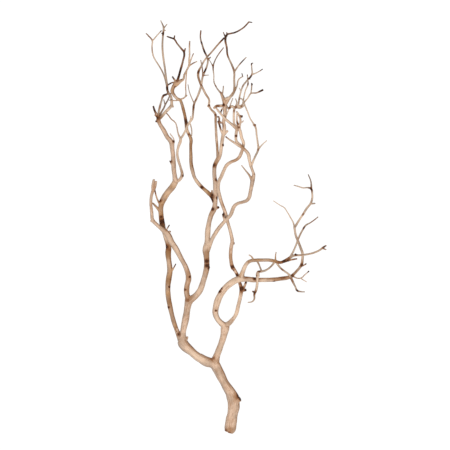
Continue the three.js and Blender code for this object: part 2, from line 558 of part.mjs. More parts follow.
// Cuts away what lies inside the limbs already made, and keeps the one piece that is left
// outside them.
function trimTo(solid, made) {
  const neighbours = made.filter((other) => boxesMeet(solid.boundingBox(), other.boundingBox()));
  const trimmed = neighbours.reduce((rest, other) => rest.subtract(other), solid);
  const pieces = trimmed.decompose();
  return pieces.reduce((best, piece) => (piece.volume() > best.volume() ? piece : best));
}

function geometryFrom(solid) {
  const mesh = solid.getMesh();
  const geometry = new THREE.BufferGeometry();
  geometry.setAttribute('position', new THREE.BufferAttribute(mesh.vertProperties, 3));
  geometry.setIndex(new THREE.BufferAttribute(mesh.triVerts, 1));
  geometry.computeVertexNormals();
  return geometry;
}

const branch = new THREE.Group();
const seats = [];
for (const { name, finish, limbs } of NODES) {
  const solid = trimTo(joinLimbs(limbs), seats);
  seats.push(joinLimbs(limbs, GAP));
  const mesh = new THREE.Mesh(
    geometryFrom(solid), new THREE.MeshStandardMaterial({ ...finish, metalness: 0 }));
  mesh.name = name;
  branch.add(mesh);
}

// The origin is the middle of the branch's footprint, on the surface it lies on.
const extent = new THREE.Box3().setFromObject(branch);
const middle = extent.getCenter(new THREE.Vector3());
branch.position.set(-middle.x, -middle.y, -extent.min.z);
branch.updateMatrixWorld(true);

export default branch;
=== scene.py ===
import math

import bpy
import numpy as np
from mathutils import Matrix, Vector
from mathutils.geometry import interpolate_bezier


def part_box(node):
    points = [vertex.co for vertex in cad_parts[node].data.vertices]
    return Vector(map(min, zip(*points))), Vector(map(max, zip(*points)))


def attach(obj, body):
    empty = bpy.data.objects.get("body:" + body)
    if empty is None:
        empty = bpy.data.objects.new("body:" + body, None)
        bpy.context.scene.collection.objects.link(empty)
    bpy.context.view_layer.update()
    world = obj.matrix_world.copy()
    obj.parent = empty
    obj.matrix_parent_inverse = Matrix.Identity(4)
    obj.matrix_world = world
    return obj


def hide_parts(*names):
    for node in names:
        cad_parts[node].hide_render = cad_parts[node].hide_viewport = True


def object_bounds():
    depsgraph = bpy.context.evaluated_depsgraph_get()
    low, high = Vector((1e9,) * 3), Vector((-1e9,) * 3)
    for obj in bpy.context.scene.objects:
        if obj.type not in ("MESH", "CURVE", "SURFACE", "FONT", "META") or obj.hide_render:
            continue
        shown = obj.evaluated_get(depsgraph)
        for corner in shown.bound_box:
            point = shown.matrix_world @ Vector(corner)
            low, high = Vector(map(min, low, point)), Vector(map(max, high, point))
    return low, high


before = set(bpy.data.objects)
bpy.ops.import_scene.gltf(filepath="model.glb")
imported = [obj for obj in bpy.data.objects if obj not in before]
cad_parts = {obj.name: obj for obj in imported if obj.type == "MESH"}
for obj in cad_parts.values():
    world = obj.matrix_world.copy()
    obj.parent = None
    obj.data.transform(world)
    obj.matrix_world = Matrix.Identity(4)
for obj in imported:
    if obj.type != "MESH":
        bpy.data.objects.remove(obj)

# The camera. It looks straight down on the branch from high up through a long lens, with
# the butt towards the bottom of the picture and the twigs at the top.
cad_low, cad_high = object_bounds()
MM = 0.001
CAMERA_HEIGHT = 32.0
LIMB_LEVEL = 0.05  # about half way up through the limbs
VIEW_WIDTH = 0.99  # what the picture spans at that level
LEFT_OF_MIDDLE = 24.5 * MM  # the camera's place beside the middle of the branch
PAST_MIDDLE = 4.9 * MM
SENSOR = 36.0
middle = (cad_low + cad_high) / 2
bpy.ops.object.select_all(action="DESELECT")
bpy.ops.object.camera_add(
    location=(middle.x - LEFT_OF_MIDDLE, middle.y + PAST_MIDDLE, CAMERA_HEIGHT),
    rotation=(0, 0, 0),
)
camera = bpy.context.object
camera.name = "overhead_camera"
camera.data.sensor_width = SENSOR
camera.data.lens = SENSOR * (CAMERA_HEIGHT - LIMB_LEVEL) / VIEW_WIDTH
camera.data.clip_end = 100
bpy.context.scene.camera = camera

# The floor and the light. A plain white light table, glowing enough that limbs throw no
# shadow on it, under an even white sky, with one large soft lamp almost overhead that
# lights the upper faces and leaves both flanks of every limb darker.
FLOOR_SIZE = 30.0
FLOOR_GLOW = 0.96
SKY_STRENGTH = 0.34
bpy.ops.mesh.primitive_plane_add(size=FLOOR_SIZE, location=(0, 0, 0))
floor = bpy.context.object
floor.name = "studio_floor"
floor_paint = bpy.data.materials.new("studio_white")
floor_paint.use_nodes = True
paint_shader = floor_paint.node_tree.nodes["Principled BSDF"]
paint_shader.inputs["Base Color"].default_value = (0.06, 0.06, 0.06, 1)
paint_shader.inputs["Roughness"].default_value = 0.9
paint_shader.inputs["Emission Color"].default_value = (1, 1, 1, 1)
paint_shader.inputs["Emission Strength"].default_value = FLOOR_GLOW
floor.data.materials.append(floor_paint)

bpy.context.scene.view_settings.view_transform = "Standard"
sky = bpy.data.worlds.new("even_white_sky")
sky.use_nodes = True
sky.node_tree.nodes["Background"].inputs["Color"].default_value = (1, 1, 1, 1)
sky.node_tree.nodes["Background"].inputs["Strength"].default_value = SKY_STRENGTH
bpy.context.scene.world = sky


def soft_lamp(name, place, size, watts):
    """A square lamp that faces the middle of the branch."""
    bpy.ops.object.light_add(type="AREA", location=place)
    lamp = bpy.context.object
    lamp.name = name
    lamp.data.size = size
    lamp.data.energy = watts
    lamp.rotation_euler = (Vector((0, 0, 0)) - Vector(place)).to_track_quat("-Z", "Y").to_euler()


soft_lamp("key_lamp", (-0.25, -0.8, 3.2), 1.2, 107)

# The trunk, all one grown piece of pale stripped wood: the thick stem with its blunt butt,
# the two arms it forks into, and the limbs that carry on from them. Each limb is a round
# curve through its stations; the curves are fused into one skin, then furrowed.
stem_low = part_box("stem")[0]
# A station is x, y, z and radius in millimetres, from a point on the floor by the butt,
# which lies this far right of and above the stem's low corner.
RIGHT_OF_CORNER, ABOVE_CORNER = 54.82 * MM, 3.45 * MM
butt = Vector((stem_low.x + RIGHT_OF_CORNER, stem_low.y + ABOVE_CORNER, 0.0))
chance = np.random.default_rng(7)
AXIS_STEP = 1.5 * MM  # how closely a limb's middle line is sampled
GRAIN_SHIFT = 0.41  # how far each limb's fibre pattern starts past the last one's, in metres


def sample_axes(splines):
    """Samples every millimetre or two along the limbs' middle lines: place, direction ahead,
    two directions across, distance along, and radius."""
    rows = []
    for number, spline in enumerate(splines):
        path, radii = [], []
        knots = spline.bezier_points
        for a, b in zip(knots[:-1], knots[1:]):
            steps = max(3, int((b.co - a.co).length / AXIS_STEP))
            path += interpolate_bezier(a.co, a.handle_right, b.handle_left, b.co, steps)[:-1]
            radii += [a.radius + (b.radius - a.radius) * i / (steps - 1) for i in range(steps - 1)]
        path.append(knots[-1].co.copy())
        radii.append(knots[-1].radius)
        across = Vector((0, 0, 1))
        along = number * GRAIN_SHIFT
        for i, (place, radius) in enumerate(zip(path, radii)):
            ahead = (path[min(i + 1, len(path) - 1)] - path[max(i - 1, 0)]).normalized()
            across = (across - ahead * across.dot(ahead)).normalized()
            along += (place - path[i - 1]).length if i else 0
            rows.append([*place, *ahead, *across, *ahead.cross(across), along, radius * MM])
    return np.array(rows)


# The columns that a sample's place, its three directions and its two lengths start at.
PLACE, AHEAD, UPWARD, ASIDE, ALONG, RADIUS = 0, 3, 6, 9, 12, 13
BATCH = 4000  # how many points are worked on at once


def fibre_frame(points, axes):
    """Where each point of the skin lies on its own limb, as if the limb were straight: two
    distances across and one along, with the limb's radius there."""
    straight = np.empty((len(points), 4))
    middles = axes[:, PLACE:PLACE + 3]
    for start in range(0, len(points), BATCH):
        batch = slice(start, start + BATCH)
        part = points[batch]
        gap = np.linalg.norm(part[:, None] - middles[None], axis=2) - axes[None, :, RADIUS]
        nearest = gap.argmin(axis=1)
        near = axes[nearest]
        offset = part - middles[nearest]
        for column, direction in enumerate((UPWARD, ASIDE, AHEAD)):
            reach = (offset * near[:, direction:direction + 3]).sum(axis=1)
            straight[batch, column] = reach
        straight[batch, 2] += near[:, ALONG]
        straight[batch, 3] = near[:, RADIUS]
    return straight


def ripples(angle, along, count, rings, shortest, longest):
    """Smooth random unevenness round and along a limb, about 1 high: so many waves, each
    going round the limb a whole number of times and as long as the last two lengths allow."""
    height = np.zeros(len(angle))
    for _ in range(count):
        turns = chance.integers(*rings)
        length = chance.uniform(shortest, longest)
        phase = chance.uniform(0, 2 * math.pi)
        height += np.cos(turns * angle + 2 * math.pi * along / length + phase)
    return height / math.sqrt(count)


def mark_strength(points, marks):
    """How strongly round marks show at each point. A mark is x, y and spread in millimetres,
    and how strong it is at its middle, if that isn't 1."""
    strength = np.zeros(len(points))
    for x, y, spread, *most in marks:
        away = np.hypot(points[:, 0] - butt.x - x * MM, points[:, 1] - butt.y - y * MM)
        fading = (most[0] if most else 1) * np.exp(-((away / (spread * MM)) ** 2))
        strength = np.maximum(strength, fading)
    return strength


SMOOTHED_OFF = 0.25  # the most that remeshing and smoothing take off a radius, in mm
THIN_SMOOTHED_OFF = 0.07  # what they take off a thin twig, as a share of its radius
LUMPS, FURROWS, KNOT_RISE = 0.045, 0.02, 0.1  # heights on the skin, as shares of the radius
FLOOR_GAP = 0.02 * MM
STOUT = 4.5 * MM  # limbs at least this thick get the full painted shade on the +x+y flank


def vertex_vectors(mesh, what):
    """Every vertex's place or normal, one row each."""
    values = np.empty(len(mesh.vertices) * 3)
    mesh.vertices.foreach_get(what, values)
    return values.reshape(-1, 3)


def grow_wood(name, limbs, grain, dark=(), brown=(), pale=()):
    """Fuses limbs into one skin, furrows it along the fibre, and stores on it where the
    fibre runs and how brown, dark, grey or pale the wood is. The +x+y flank, away from
    the lamp, is painted browner and darker as shade, and the rim of the -x-y flank is painted
    greyer. The grain is the skin's mesh size."""
    bpy.ops.object.select_all(action="DESELECT")
    bpy.ops.curve.primitive_bezier_curve_add(location=(0, 0, 0))
    wood = bpy.context.object
    wood.name = name
    shape = wood.data
    shape.splines.clear()
    shape.dimensions = "3D"
    shape.twist_mode = "MINIMUM"
    shape.resolution_u = 6
    shape.bevel_depth = MM
    shape.bevel_resolution = 4
    shape.use_fill_caps = True
    for stations in limbs:
        spline = shape.splines.new("BEZIER")
        spline.radius_interpolation = "CARDINAL"
        spline.bezier_points.add(len(stations) - 1)
        for knot, (x, y, z, radius) in zip(spline.bezier_points, stations):
            knot.co = butt + Vector((x, y, z)) * MM
            knot.radius = radius + min(SMOOTHED_OFF, THIN_SMOOTHED_OFF * radius)
            knot.handle_left_type = knot.handle_right_type = "AUTO"
    bpy.context.view_layer.update()
    axes = sample_axes(shape.splines)
    bpy.ops.object.convert(target="MESH")
    wood = bpy.context.object
    bpy.ops.object.modifier_add(type="REMESH")
    remesh = wood.modifiers["Remesh"]
    remesh.mode = "VOXEL"
    remesh.voxel_size = grain
    bpy.ops.object.modifier_apply(modifier="Remesh")
    bpy.ops.object.modifier_add(type="SMOOTH")
    wood.modifiers["Smooth"].factor = 0.5
    wood.modifiers["Smooth"].iterations = 3
    bpy.ops.object.modifier_apply(modifier="Smooth")
    mesh = wood.data
    points = vertex_vectors(mesh, "co")
    facing = vertex_vectors(mesh, "normal")
    straight = fibre_frame(points, axes)
    angle = np.arctan2(straight[:, 1], straight[:, 0])
    radius = straight[:, 3]
    lumps = LUMPS * radius * ripples(angle, straight[:, 2], 7, (0, 3), 0.025, 0.09)
    furrows = FURROWS * radius * ripples(angle, straight[:, 2], 9, (3, 9), 0.03, 0.2)
    # The dark marks are knots, dark forks and a few painted shadows where one bough passes under
    # another; all are darkened and lifted alike.
    knots = mark_strength(points, dark)
    lift = lumps + furrows + KNOT_RISE * radius * knots
    points += facing * lift[:, None]
    points[:, 2] = np.maximum(points[:, 2], FLOOR_GAP)
    mesh.vertices.foreach_set("co", points.ravel())
    mesh.update()
    fibre = mesh.attributes.new("fibre", "FLOAT_VECTOR", "POINT")
    fibre.data.foreach_set("vector", np.ascontiguousarray(straight[:, :3]).ravel())
    # Painted shade, set by the way the skin faces: the flank facing +x+y, away from the lamp, is
    # browned and darkened (less on thin twigs), and the rim of the -x-y flank is greyed and
    # darkened a little.
    toward_shaded_flank = (facing[:, 0] + facing[:, 1]) * math.sqrt(0.5)
    shaded_flank = np.clip(toward_shaded_flank, 0, 1) * np.clip(radius / STOUT, 0.4, 1)
    lamp_side_rim_shade = np.clip(-toward_shaded_flank, 0, 1)
    # how brown (stains and painted flank shade), how dark (knots, painted shadows and painted
    # shade), how grey (painted rim shade) and how pale
    wear_and_shade = np.stack([
        np.clip(mark_strength(points, brown) + 1.1 * shaded_flank ** 1.6, 0, 1),
        np.clip(knots + 0.48 * shaded_flank ** 2.8 + 0.2 * lamp_side_rim_shade ** 3, 0, 1),
        lamp_side_rim_shade ** 2.2,
        mark_strength(points, pale),
    ], axis=1)
    stored = mesh.attributes.new("wear_and_shade", "FLOAT_COLOR", "POINT")
    stored.data.foreach_set("color", wear_and_shade.ravel())
    bpy.ops.object.shade_smooth()
    return wood


def hue(code):
    """A colour written as six hex digits, in the linear values that a shader takes."""
    parts = [int(code[i:i + 2], 16) / 255 for i in (0, 2, 4)]
    return (*[((p + 0.055) / 1.055) ** 2.4 if p > 0.04 else p / 12.92 for p in parts], 1)


def stripped_wood(name, fresh, aged, stained, knot_and_shade_black, roughness):
    """Weathered barkless wood: long fibre streaks, aged patches, brown stains that spread
    from the marks on the skin, near-black knots, fine drying cracks along the fibre, and
    painted shade from the skin's marks: browner, darker flanks and greyer rims."""
    # The grey is the painted rim shade; the two darkest colours take the knots together with
    # painted shadow and painted flank shade.
    bare, rim_shade_grey, knot_and_shade_brown, cracked = "DCC0A6", "8C7E74", "7A4A29", "6B3F22"
    material = bpy.data.materials.new(name)
    material.use_nodes = True
    tree = material.node_tree
    shader = tree.nodes["Principled BSDF"]

    def node(kind, values=(), **inputs):
        # an input is given by its name, or by its number as in _0
        made = tree.nodes.new(kind)
        for key, value in values:
            setattr(made, key, value)
        for key, value in inputs.items():
            socket = made.inputs[int(key[1:])] if key[1:].isdigit() else made.inputs[key]
            if isinstance(value, bpy.types.NodeSocket):
                tree.links.new(value, socket)
            else:
                socket.default_value = value
        return made

    def noise(vector, scale, stretch, detail=4.0, fineness=0.55):
        fitted = node("ShaderNodeVectorMath", [("operation", "MULTIPLY")], _0=vector, _1=stretch)
        made = node("ShaderNodeTexNoise", Vector=fitted.outputs[0], Scale=scale, Detail=detail,
                    Roughness=fineness)
        return made.outputs[0]

    def span(value, low, high, to_low=0.0, to_high=1.0):
        made = node("ShaderNodeMapRange", [("interpolation_type", "SMOOTHSTEP")], _0=value,
                    _1=low, _2=high, _3=to_low, _4=to_high)
        return made.outputs[0]

    def maths(operation, a, b):
        return node("ShaderNodeMath", [("operation", operation)], _0=a, _1=b).outputs[0]

    def blend(share, a, b):
        made = node("ShaderNodeMix", [("data_type", "RGBA")], _0=share)
        for socket, value in ((made.inputs[6], a), (made.inputs[7], b)):
            if isinstance(value, bpy.types.NodeSocket):
                tree.links.new(value, socket)
            else:
                socket.default_value = value
        return made.outputs[2]

    fibre = node("ShaderNodeAttribute", [("attribute_name", "fibre")]).outputs["Vector"]
    # The skin's stored marks: brown stains with painted flank shade, dark knots with painted shadow
    # and flank shade, painted grey rim shade, and pale patches.
    wear_and_shade = node("ShaderNodeAttribute", [("attribute_name", "wear_and_shade")]).outputs
    stain_and_flank_shade, knots_and_flank_shade, painted_rim_shade = node("ShaderNodeSeparateXYZ", _0=wear_and_shade["Vector"]).outputs[:]
    paled = wear_and_shade["Alpha"]
    place = node("ShaderNodeTexCoord").outputs["Object"]
    patches = noise(place, 55.0, (1, 1, 1))
    mottle = noise(fibre, 1.0, (240, 240, 120), 4.0, 0.7)
    broad = noise(fibre, 1.0, (170, 170, 26), 3.0)
    streaks = noise(fibre, 1.0, (750, 750, 60), 5.0, 0.65)
    threads = noise(fibre, 1.0, (2600, 2600, 90), 3.0)
    cracks = span(noise(fibre, 1.0, (620, 620, 16), 2.0), 0.33, 0.38, 1.0, 0.0)
    specks = span(noise(fibre, 1.0, (330, 330, 240), 1.0), 0.72, 0.8)

    def around(value, strength):
        return maths("MULTIPLY", maths("SUBTRACT", value, 0.5), strength)

    colour = blend(span(patches, 0.4, 0.6), hue(fresh), hue(aged))
    colour = blend(maths("MULTIPLY", span(streaks, 0.45, 0.8), 0.5), colour, hue(stained))
    colour = blend(maths("MULTIPLY", span(mottle, 0.48, 0.66), 0.6), colour, hue(stained))
    colour = blend(maths("MULTIPLY", paled, 0.85), colour, hue(bare))
    # Brown stains, with the painted shade of the +x+y flank browned in.
    stain_and_shade = maths("ADD", maths("ADD", stain_and_flank_shade, around(broad, 1.0)), around(streaks, 0.7))
    colour = blend(span(stain_and_shade, 0.12, 0.95, 0.0, 0.9), colour, hue(stained))
    # Painted shade: the rims of the -x-y flank greyed.
    rim_shade_share = maths("MULTIPLY", painted_rim_shade, span(threads, 0.3, 0.7, 0.6, 1.0))
    colour = blend(maths("MULTIPLY", rim_shade_share, 0.9), colour, hue(rim_shade_grey))
    # Dark knots and forks, with painted shadow and painted flank shade darkened in.
    knot_and_shade_depth = maths("ADD", maths("ADD", knots_and_flank_shade, around(broad, 0.35)), around(streaks, 0.5))
    colour = blend(span(knot_and_shade_depth, 0.15, 0.5, 0.0, 0.85), colour, hue(knot_and_shade_brown))
    colour = blend(span(knot_and_shade_depth, 0.45, 0.85, 0.0, 0.95), colour, hue(knot_and_shade_black))
    flaws = maths("MAXIMUM", cracks, specks)
    colour = blend(maths("MULTIPLY", flaws, 0.5), colour, hue(cracked))
    tree.links.new(colour, shader.inputs["Base Color"])
    tree.links.new(span(streaks, 0.2, 0.8, roughness - 0.1, roughness + 0.1),
                   shader.inputs["Roughness"])
    shader.inputs["Specular IOR Level"].default_value = 0.15
    relief = maths("ADD", maths("MULTIPLY", streaks, 0.7), maths("MULTIPLY", threads, 0.3))
    relief = maths("SUBTRACT", relief, maths("MULTIPLY", cracks, 0.8))
    bump = node("ShaderNodeBump", Height=relief, Strength=0.6, Distance=0.4 * MM)
    tree.links.new(bump.outputs[0], shader.inputs["Normal"])
    return material


def fit(piece, material, slot, *nodes):
    """The piece gets its wood, rides on the branch's one body and stands for its nodes."""
    piece.data.materials.append(material)
    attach(piece, "root")
    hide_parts(*nodes)


pale_wood = stripped_wood("pale_wood_skin", "CDAF97", "B49A84", "A07756", "3E200E", 0.72)
trunk = grow_wood("trunk", [
    [[-14, 0, 11.5, 8.6], [-11.5, 6, 12.4, 11.9], [-9.5, 18, 12.9, 12.9], [-5, 40, 15.2, 12.1],
     [-3, 60, 18.1, 12.9], [-6.5, 80, 20.8, 12.2], [-19, 102, 25, 10.4], [-29.5, 121, 29, 9.7],
     [-39, 140, 33, 10.4], [-45, 151, 36, 11.3]],
    [[-3, 66, 19.1, 8.1], [4, 70, 22, 7.6], [10.5, 74, 24, 6.7]],
    [[-12, 30, 15.1, 4.9], [-20, 31, 16, 3.2]],
    [[-45, 151, 36, 10.8], [-62, 155.5, 37, 10.3], [-80, 165, 38.5, 9.3], [-98, 180, 40, 9.6],
     [-113, 194, 41, 10.9], [-117.5, 202, 41.5, 9.9]],
    [[-109, 199, 42, 2.9], [-104, 211, 45, 1.8]],
    [[-45, 151, 36, 9.8], [-40.5, 168, 38.5, 7.3], [-36, 180, 40, 6.7], [-32, 190, 42, 6.8],
     [-28, 201, 44, 7.3], [-25, 213, 46.5, 7.5], [-22.5, 226, 49, 8.8], [-21, 234, 50, 8.8]],
    [[-116, 200, 41.5, 9.3], [-114.5, 220, 44, 6.6], [-110.5, 240, 47, 7.4],
     [-107, 260, 50, 7.2], [-103.5, 280, 54, 7.5], [-101, 293, 57, 8.7]],
    [[-102, 291, 57, 6.4], [-106, 305, 60, 5.6], [-105.5, 322, 60, 5.6], [-102, 340, 57, 6.1],
     [-107, 360, 53, 5.3], [-117, 380, 47, 5.3], [-129, 402, 41, 5.8], [-140, 420, 36, 6.4],
     [-149, 436, 34, 6.7], [-160, 447, 34, 4.9], [-172, 457, 35, 3.8], [-181, 467, 36, 3.6],
     [-183, 482, 38, 3.4], [-185, 512, 42, 3.2], [-181, 530, 45, 3.5], [-176, 541, 46.5, 2.8],
     [-173, 553, 48, 2.1]],
    [[-181, 529, 45, 3], [-181, 543, 47.5, 2.8], [-178.5, 557, 50, 2.4]],
    [[-21, 233, 50, 7.6], [-32, 242, 53, 5.8], [-39, 251, 55, 5.8], [-43, 263, 57, 6.4],
     [-42, 276, 59, 6.7], [-38, 290, 61, 7], [-33, 301, 62, 7], [-22, 317, 64, 7],
     [-9, 328, 65, 6.9], [5, 336, 65, 7.2], [20, 337.5, 63, 5.8], [40, 336, 58, 5.5],
     [60, 335.5, 51, 4.8], [80, 336, 43, 4.4], [100, 338, 34, 4.2], [118, 341, 26, 4.1],
     [124, 344, 23, 3.5]],
    # collars, where the honey and grey limbs grow out of the pale ones
    [[-45, 151, 36, 9.3], [-62, 155.5, 37, 11], [-80, 165, 38.5, 9.3]],
    [[-112, 196, 41, 8.5], [-118, 203, 40, 7.5], [-125, 217, 36, 5.2], [-132, 235, 32, 4.1]],
    [[-101, 288, 57, 8.1], [-99, 291, 57, 7.5], [-86, 301, 60, 6.5], [-78, 311, 62, 5.5]],
    [[-22, 230, 49, 7.1], [-21, 234, 50, 6.7], [-13, 240, 48, 5.7], [-7, 246, 46, 4.8],
     [-1, 254, 44, 3.9]],
    [[5, 336, 65, 5.9], [11, 338, 64.5, 6.1], [17, 353, 64, 4.3], [21, 363, 64, 3]],
    # scars and knobs
    [[-146, 439, 34, 2.6], [-142, 443, 34.5, 2.1]],
    [[-150, 447, 34, 1.4], [-147, 452, 35, 1.3], [-144, 457, 36, 1.2]],
    [[-182, 466, 36, 2.6], [-186, 464, 36, 2.1]],
], 0.9 * MM,
    dark=[(9, 80, 7), (12, 75, 5), (-48, 163, 6, 0.45), (-21, 4, 5, 0.5), (-12, -2, 5, 0.5),
          (-104, 291, 6, 0.55), (-124, 216, 4.5, 0.8),
          (-109, 314, 3, 0.8), (-100, 342, 2.5), (-42, 268, 2.6), (-34, 311, 4.5),
          (-30, 317, 3.5, 0.8),
          (43, 338, 4.5, 0.9), (86, 332, 3, 0.8), (106, 341, 10, 0.4), (122, 344, 6, 0.4),
          (-106, 208, 3, 0.4), (24, 341, 8, 0.35), (-176, 538, 6, 0.3),
          (-145, 454, 6, 0.9), (-141, 444, 4, 0.7)],
    brown=[(7, 78, 12), (-98, 184, 12, 0.2), (-44, 160, 12, 0.6), (-104, 296, 14, 0.8),
           (-105, 318, 18, 0.7), (-102, 343, 16, 0.8), (-36, 300, 14, 0.25), (47, 337, 10, 0.8),
           (95, 338, 16, 0.9), (118, 342, 16, 0.9), (-12, 3, 11), (-42, 270, 9, 0.5),
           (-178, 538, 14, 0.7), (-4, 62, 16, 0.35), (-20, 100, 14, 0.4), (-9, 25, 12, 0.35),
           (-108, 258, 10, 0.35), (-183, 500, 16, 0.35), (-155, 443, 5, 0.4)],
    pale=[(-36, 246, 16, 0.9), (-125, 398, 20, 0.5), (-145, 425, 20, 0.5), (62, 335, 8, 0.8),
          (10, 336, 10, 0.8), (-85, 168, 24, 0.9), (-33, 190, 20, 0.3), (-36, 288, 28, 0.6),
          (-10, 328, 22, 0.6)])
fit(trunk, pale_wood, "pale_wood", "stem", "left_arm", "right_arm", "centre_left_limb",
    "crossing_limb", "looping_limb")

# The outer bough on the left, darker wood stained honey and brown. It leans out from the
# left arm, dips until it rests on the floor, and climbs again under the crossing limb.
honey_wood = stripped_wood("honey_wood_skin", "B9936F", "A3866F", "8A623E", "3A1D0D", 0.74)
outer_bough = grow_wood("outer_bough", [
    [[-118, 203, 40, 6.5], [-125, 217, 36, 4.6], [-132, 235, 32, 4.6], [-139, 260, 27, 5.1],
     [-143.5, 280, 24, 5.4], [-147, 300, 21.5, 5.3], [-148, 320, 19.5, 5.6],
     [-145.5, 340, 17.6, 6.1], [-143.5, 355, 16.1, 6], [-145, 370, 14.2, 5.4],
     [-147, 395, 11.8, 6], [-146, 407, 10.7, 5.4], [-152, 430, 8.3, 5.4], [-160, 457, 6.4, 5.4],
     [-163, 480, 5.2, 5.2], [-163, 497, 6.2, 6], [-158, 512, 8.4, 6.8], [-149, 527, 12.3, 6.5],
     [-138, 540, 17.1, 6.5], [-131, 552, 22, 6.5]],
    [[-164, 484, 5.2, 3.2], [-170, 492, 7.1, 2.6], [-176, 499, 9.1, 2.3], [-182, 505, 11, 1.7]],
    [[-165, 500, 7.1, 2.2], [-172, 515, 11, 1.7], [-176, 531, 15, 1.4], [-177, 540, 18, 1.2]],
    [[-141, 352, 17, 2.2], [-135, 362, 20, 1.5], [-130, 371, 23, 1.1]],
], 0.6 * MM,
    # The dark marks at -151, 408, -144, 402 and -161, 464 are painted shadow, where the bough
    # passes under the crossing limb.
    dark=[(-121, 216, 5, 0.9), (-127, 222, 3, 0.6), (-146, 275, 3), (-145, 320, 2.6),
          (-151, 408, 6.5, 0.85), (-144, 402, 5, 0.5), (-161, 464, 9, 0.9), (-163, 474, 4),
          (-165, 510, 5, 0.8), (-175, 532, 10, 0.7), (-130, 371, 10), (-144, 337, 5, 0.3)],
    brown=[(-128, 226, 12, 0.7), (-145, 285, 12, 0.6), (-147, 335, 14, 0.7),
           (-146, 396, 22, 0.9), (-160, 465, 20, 0.9), (-160, 500, 16, 0.5),
           (-140, 537, 10, 0.5)],
    pale=[(-119, 205, 8), (-146, 375, 14, 0.5), (-153, 432, 14, 0.8), (-148, 528, 12, 0.4),
          (-134, 550, 10, 0.6)])
fit(outer_bough, honey_wood, "honey_wood", "left_outer_limb")

# The top of the outer bough, pale bare wood again. It grows straight on out of the honey
# part, carries short broken spurs, and the left-hand twigs spring from its end.
outer_bough_top = grow_wood("outer_bough_top", [
    [[-131, 551, 22, 5.8], [-133, 565, 27, 4.8], [-135, 580, 31, 5], [-135.5, 600, 35.5, 4.9],
     [-138, 622, 39.5, 4.6], [-141, 640, 42.5, 5.2], [-149, 650, 44.5, 4.6],
     [-157, 665, 47, 4.6], [-166, 680, 49.5, 4.2], [-169, 690, 51, 4.2]],
    [[-137, 586, 33, 2.2], [-143.5, 598, 36, 1.4]],
    [[-168, 684, 50.5, 3.2], [-171, 697, 52, 2.6], [-176, 706, 54, 2.2], [-180, 718, 57, 1.8]],
    [[-137, 639, 42, 3.2], [-134, 640, 42, 2.2]],
    [[-138, 628, 41, 2.2], [-134, 642, 44, 1.4], [-143, 658, 48, 1]],
    [[-170, 685, 50, 2.6], [-175, 684, 50, 1.7]],
    [[-171, 694, 51, 2.2], [-177, 699, 52, 1.4]],
], 0.55 * MM,
    dark=[(-175, 684, 4), (-135, 640, 3), (-143, 597, 5), (-177, 712, 12), (-170, 693, 7, 0.8)],
    brown=[(-168, 688, 12, 0.8)])
fit(outer_bough_top, pale_wood, "pale_wood", "left_upper_limb")

# The twig that grows inward at the foot of that top: pale, greyish wood, rooted in the
# bough's last bend, with a dark knob where a shoot has broken off.
grey_wood = stripped_wood("grey_wood_skin", "C5A890", "AC9481", "967050", "3E200E", 0.76)
inner_twig = grow_wood("inner_twig", [
    [[-130, 551, 22, 4.2], [-121, 557, 28, 3.4], [-116.5, 567, 32, 3], [-119, 580, 37, 2.6],
     [-125, 600, 43, 2.7], [-127, 614, 47, 2.7], [-124, 630, 51, 2.9], [-120, 641, 54, 3],
     [-119.5, 649, 56, 2.7]],
    [[-120, 646, 55, 2.3], [-125, 658, 59, 1.6], [-128, 672, 61, 1.5], [-131, 681, 62, 1.4],
     [-141, 690, 63, 1.4], [-146, 697, 64, 1.3], [-151.5, 703, 65, 1.1]],
    [[-117, 565, 32, 2.7], [-113, 565, 32, 1.9]],
], 0.5 * MM, dark=[(-113.5, 565, 3.5), (-150, 702, 8, 0.5)],
    brown=[(-117, 572, 8, 0.6), (-145, 695, 20, 0.7)], pale=[(-125, 620, 30, 0.7)])
fit(inner_twig, grey_wood, "grey_wood", "left_inner_twig")

# The long straight twig that grows on out of that one: thin dark wood, with knobs where
# side twigs have broken off and a fine fork near its tip.
dark_twig = stripped_wood("dark_twig_skin", "957E6B", "7D6A5D", "634731", "2E180C", 0.82)
straight_twig = grow_wood("straight_twig", [
    [[-120, 646, 55.5, 2.4], [-114, 654, 58.5, 2.3], [-109, 664, 61, 2.3], [-105, 674, 63, 2.3],
     [-100, 682, 65, 2.3], [-94, 690, 67.5, 2.3], [-92.5, 700, 69, 2.2], [-91.5, 712, 71, 2.3],
     [-90, 722, 73, 2.3], [-84, 735, 76, 2.1], [-78, 750, 79, 2.2], [-74, 765, 81.5, 2.1],
     [-71, 782, 83.5, 2.1], [-66, 795, 85, 2], [-62, 805, 87, 1.8], [-59.5, 818, 88.5, 1.9],
     [-62, 827, 89.5, 1.8], [-67, 837, 90.5, 1.9], [-72, 852, 92, 1.9], [-76, 868, 94, 1.5],
     [-75, 884, 96, 1.5]],
    [[-71, 784, 83.5, 1.5], [-72, 802, 86, 1.3], [-75.5, 819, 89, 1.1]],
    [[-59, 820, 88.5, 2.3], [-53, 826, 89, 0.9]],
    [[-90, 724, 73, 1.3], [-95, 735, 75, 1.2], [-100, 748, 76, 1.1], [-103.5, 766, 77, 0.9]],
    [[-99, 681, 65, 1.4], [-97.5, 696, 66, 0.9]],
    [[-95.5, 652, 61, 1.4], [-95, 662, 62, 1.4], [-97, 674, 63, 1.4], [-99.5, 682, 64, 1.4]],
    [[-69, 785, 83.5, 1.3], [-57, 786, 84, 0.8]],
], 0.5 * MM,
    dark=[(-66, 796, 6), (-67, 837, 8), (-59, 821, 3, 0.6), (-73, 857, 4), (-91, 716, 8, 0.7),
          (-75, 878, 12, 0.5), (-87, 732, 5, 0.5), (-74, 764, 4, 0.5), (-70, 785, 5, 0.5)],
    pale=[(-110, 662, 18, 0.9), (-97, 688, 16), (-84, 742, 22, 0.6), (-73, 768, 14, 0.8),
          (-61, 810, 10, 0.5)])
fit(straight_twig, dark_twig, "dark_twig", "long_straight_twig")

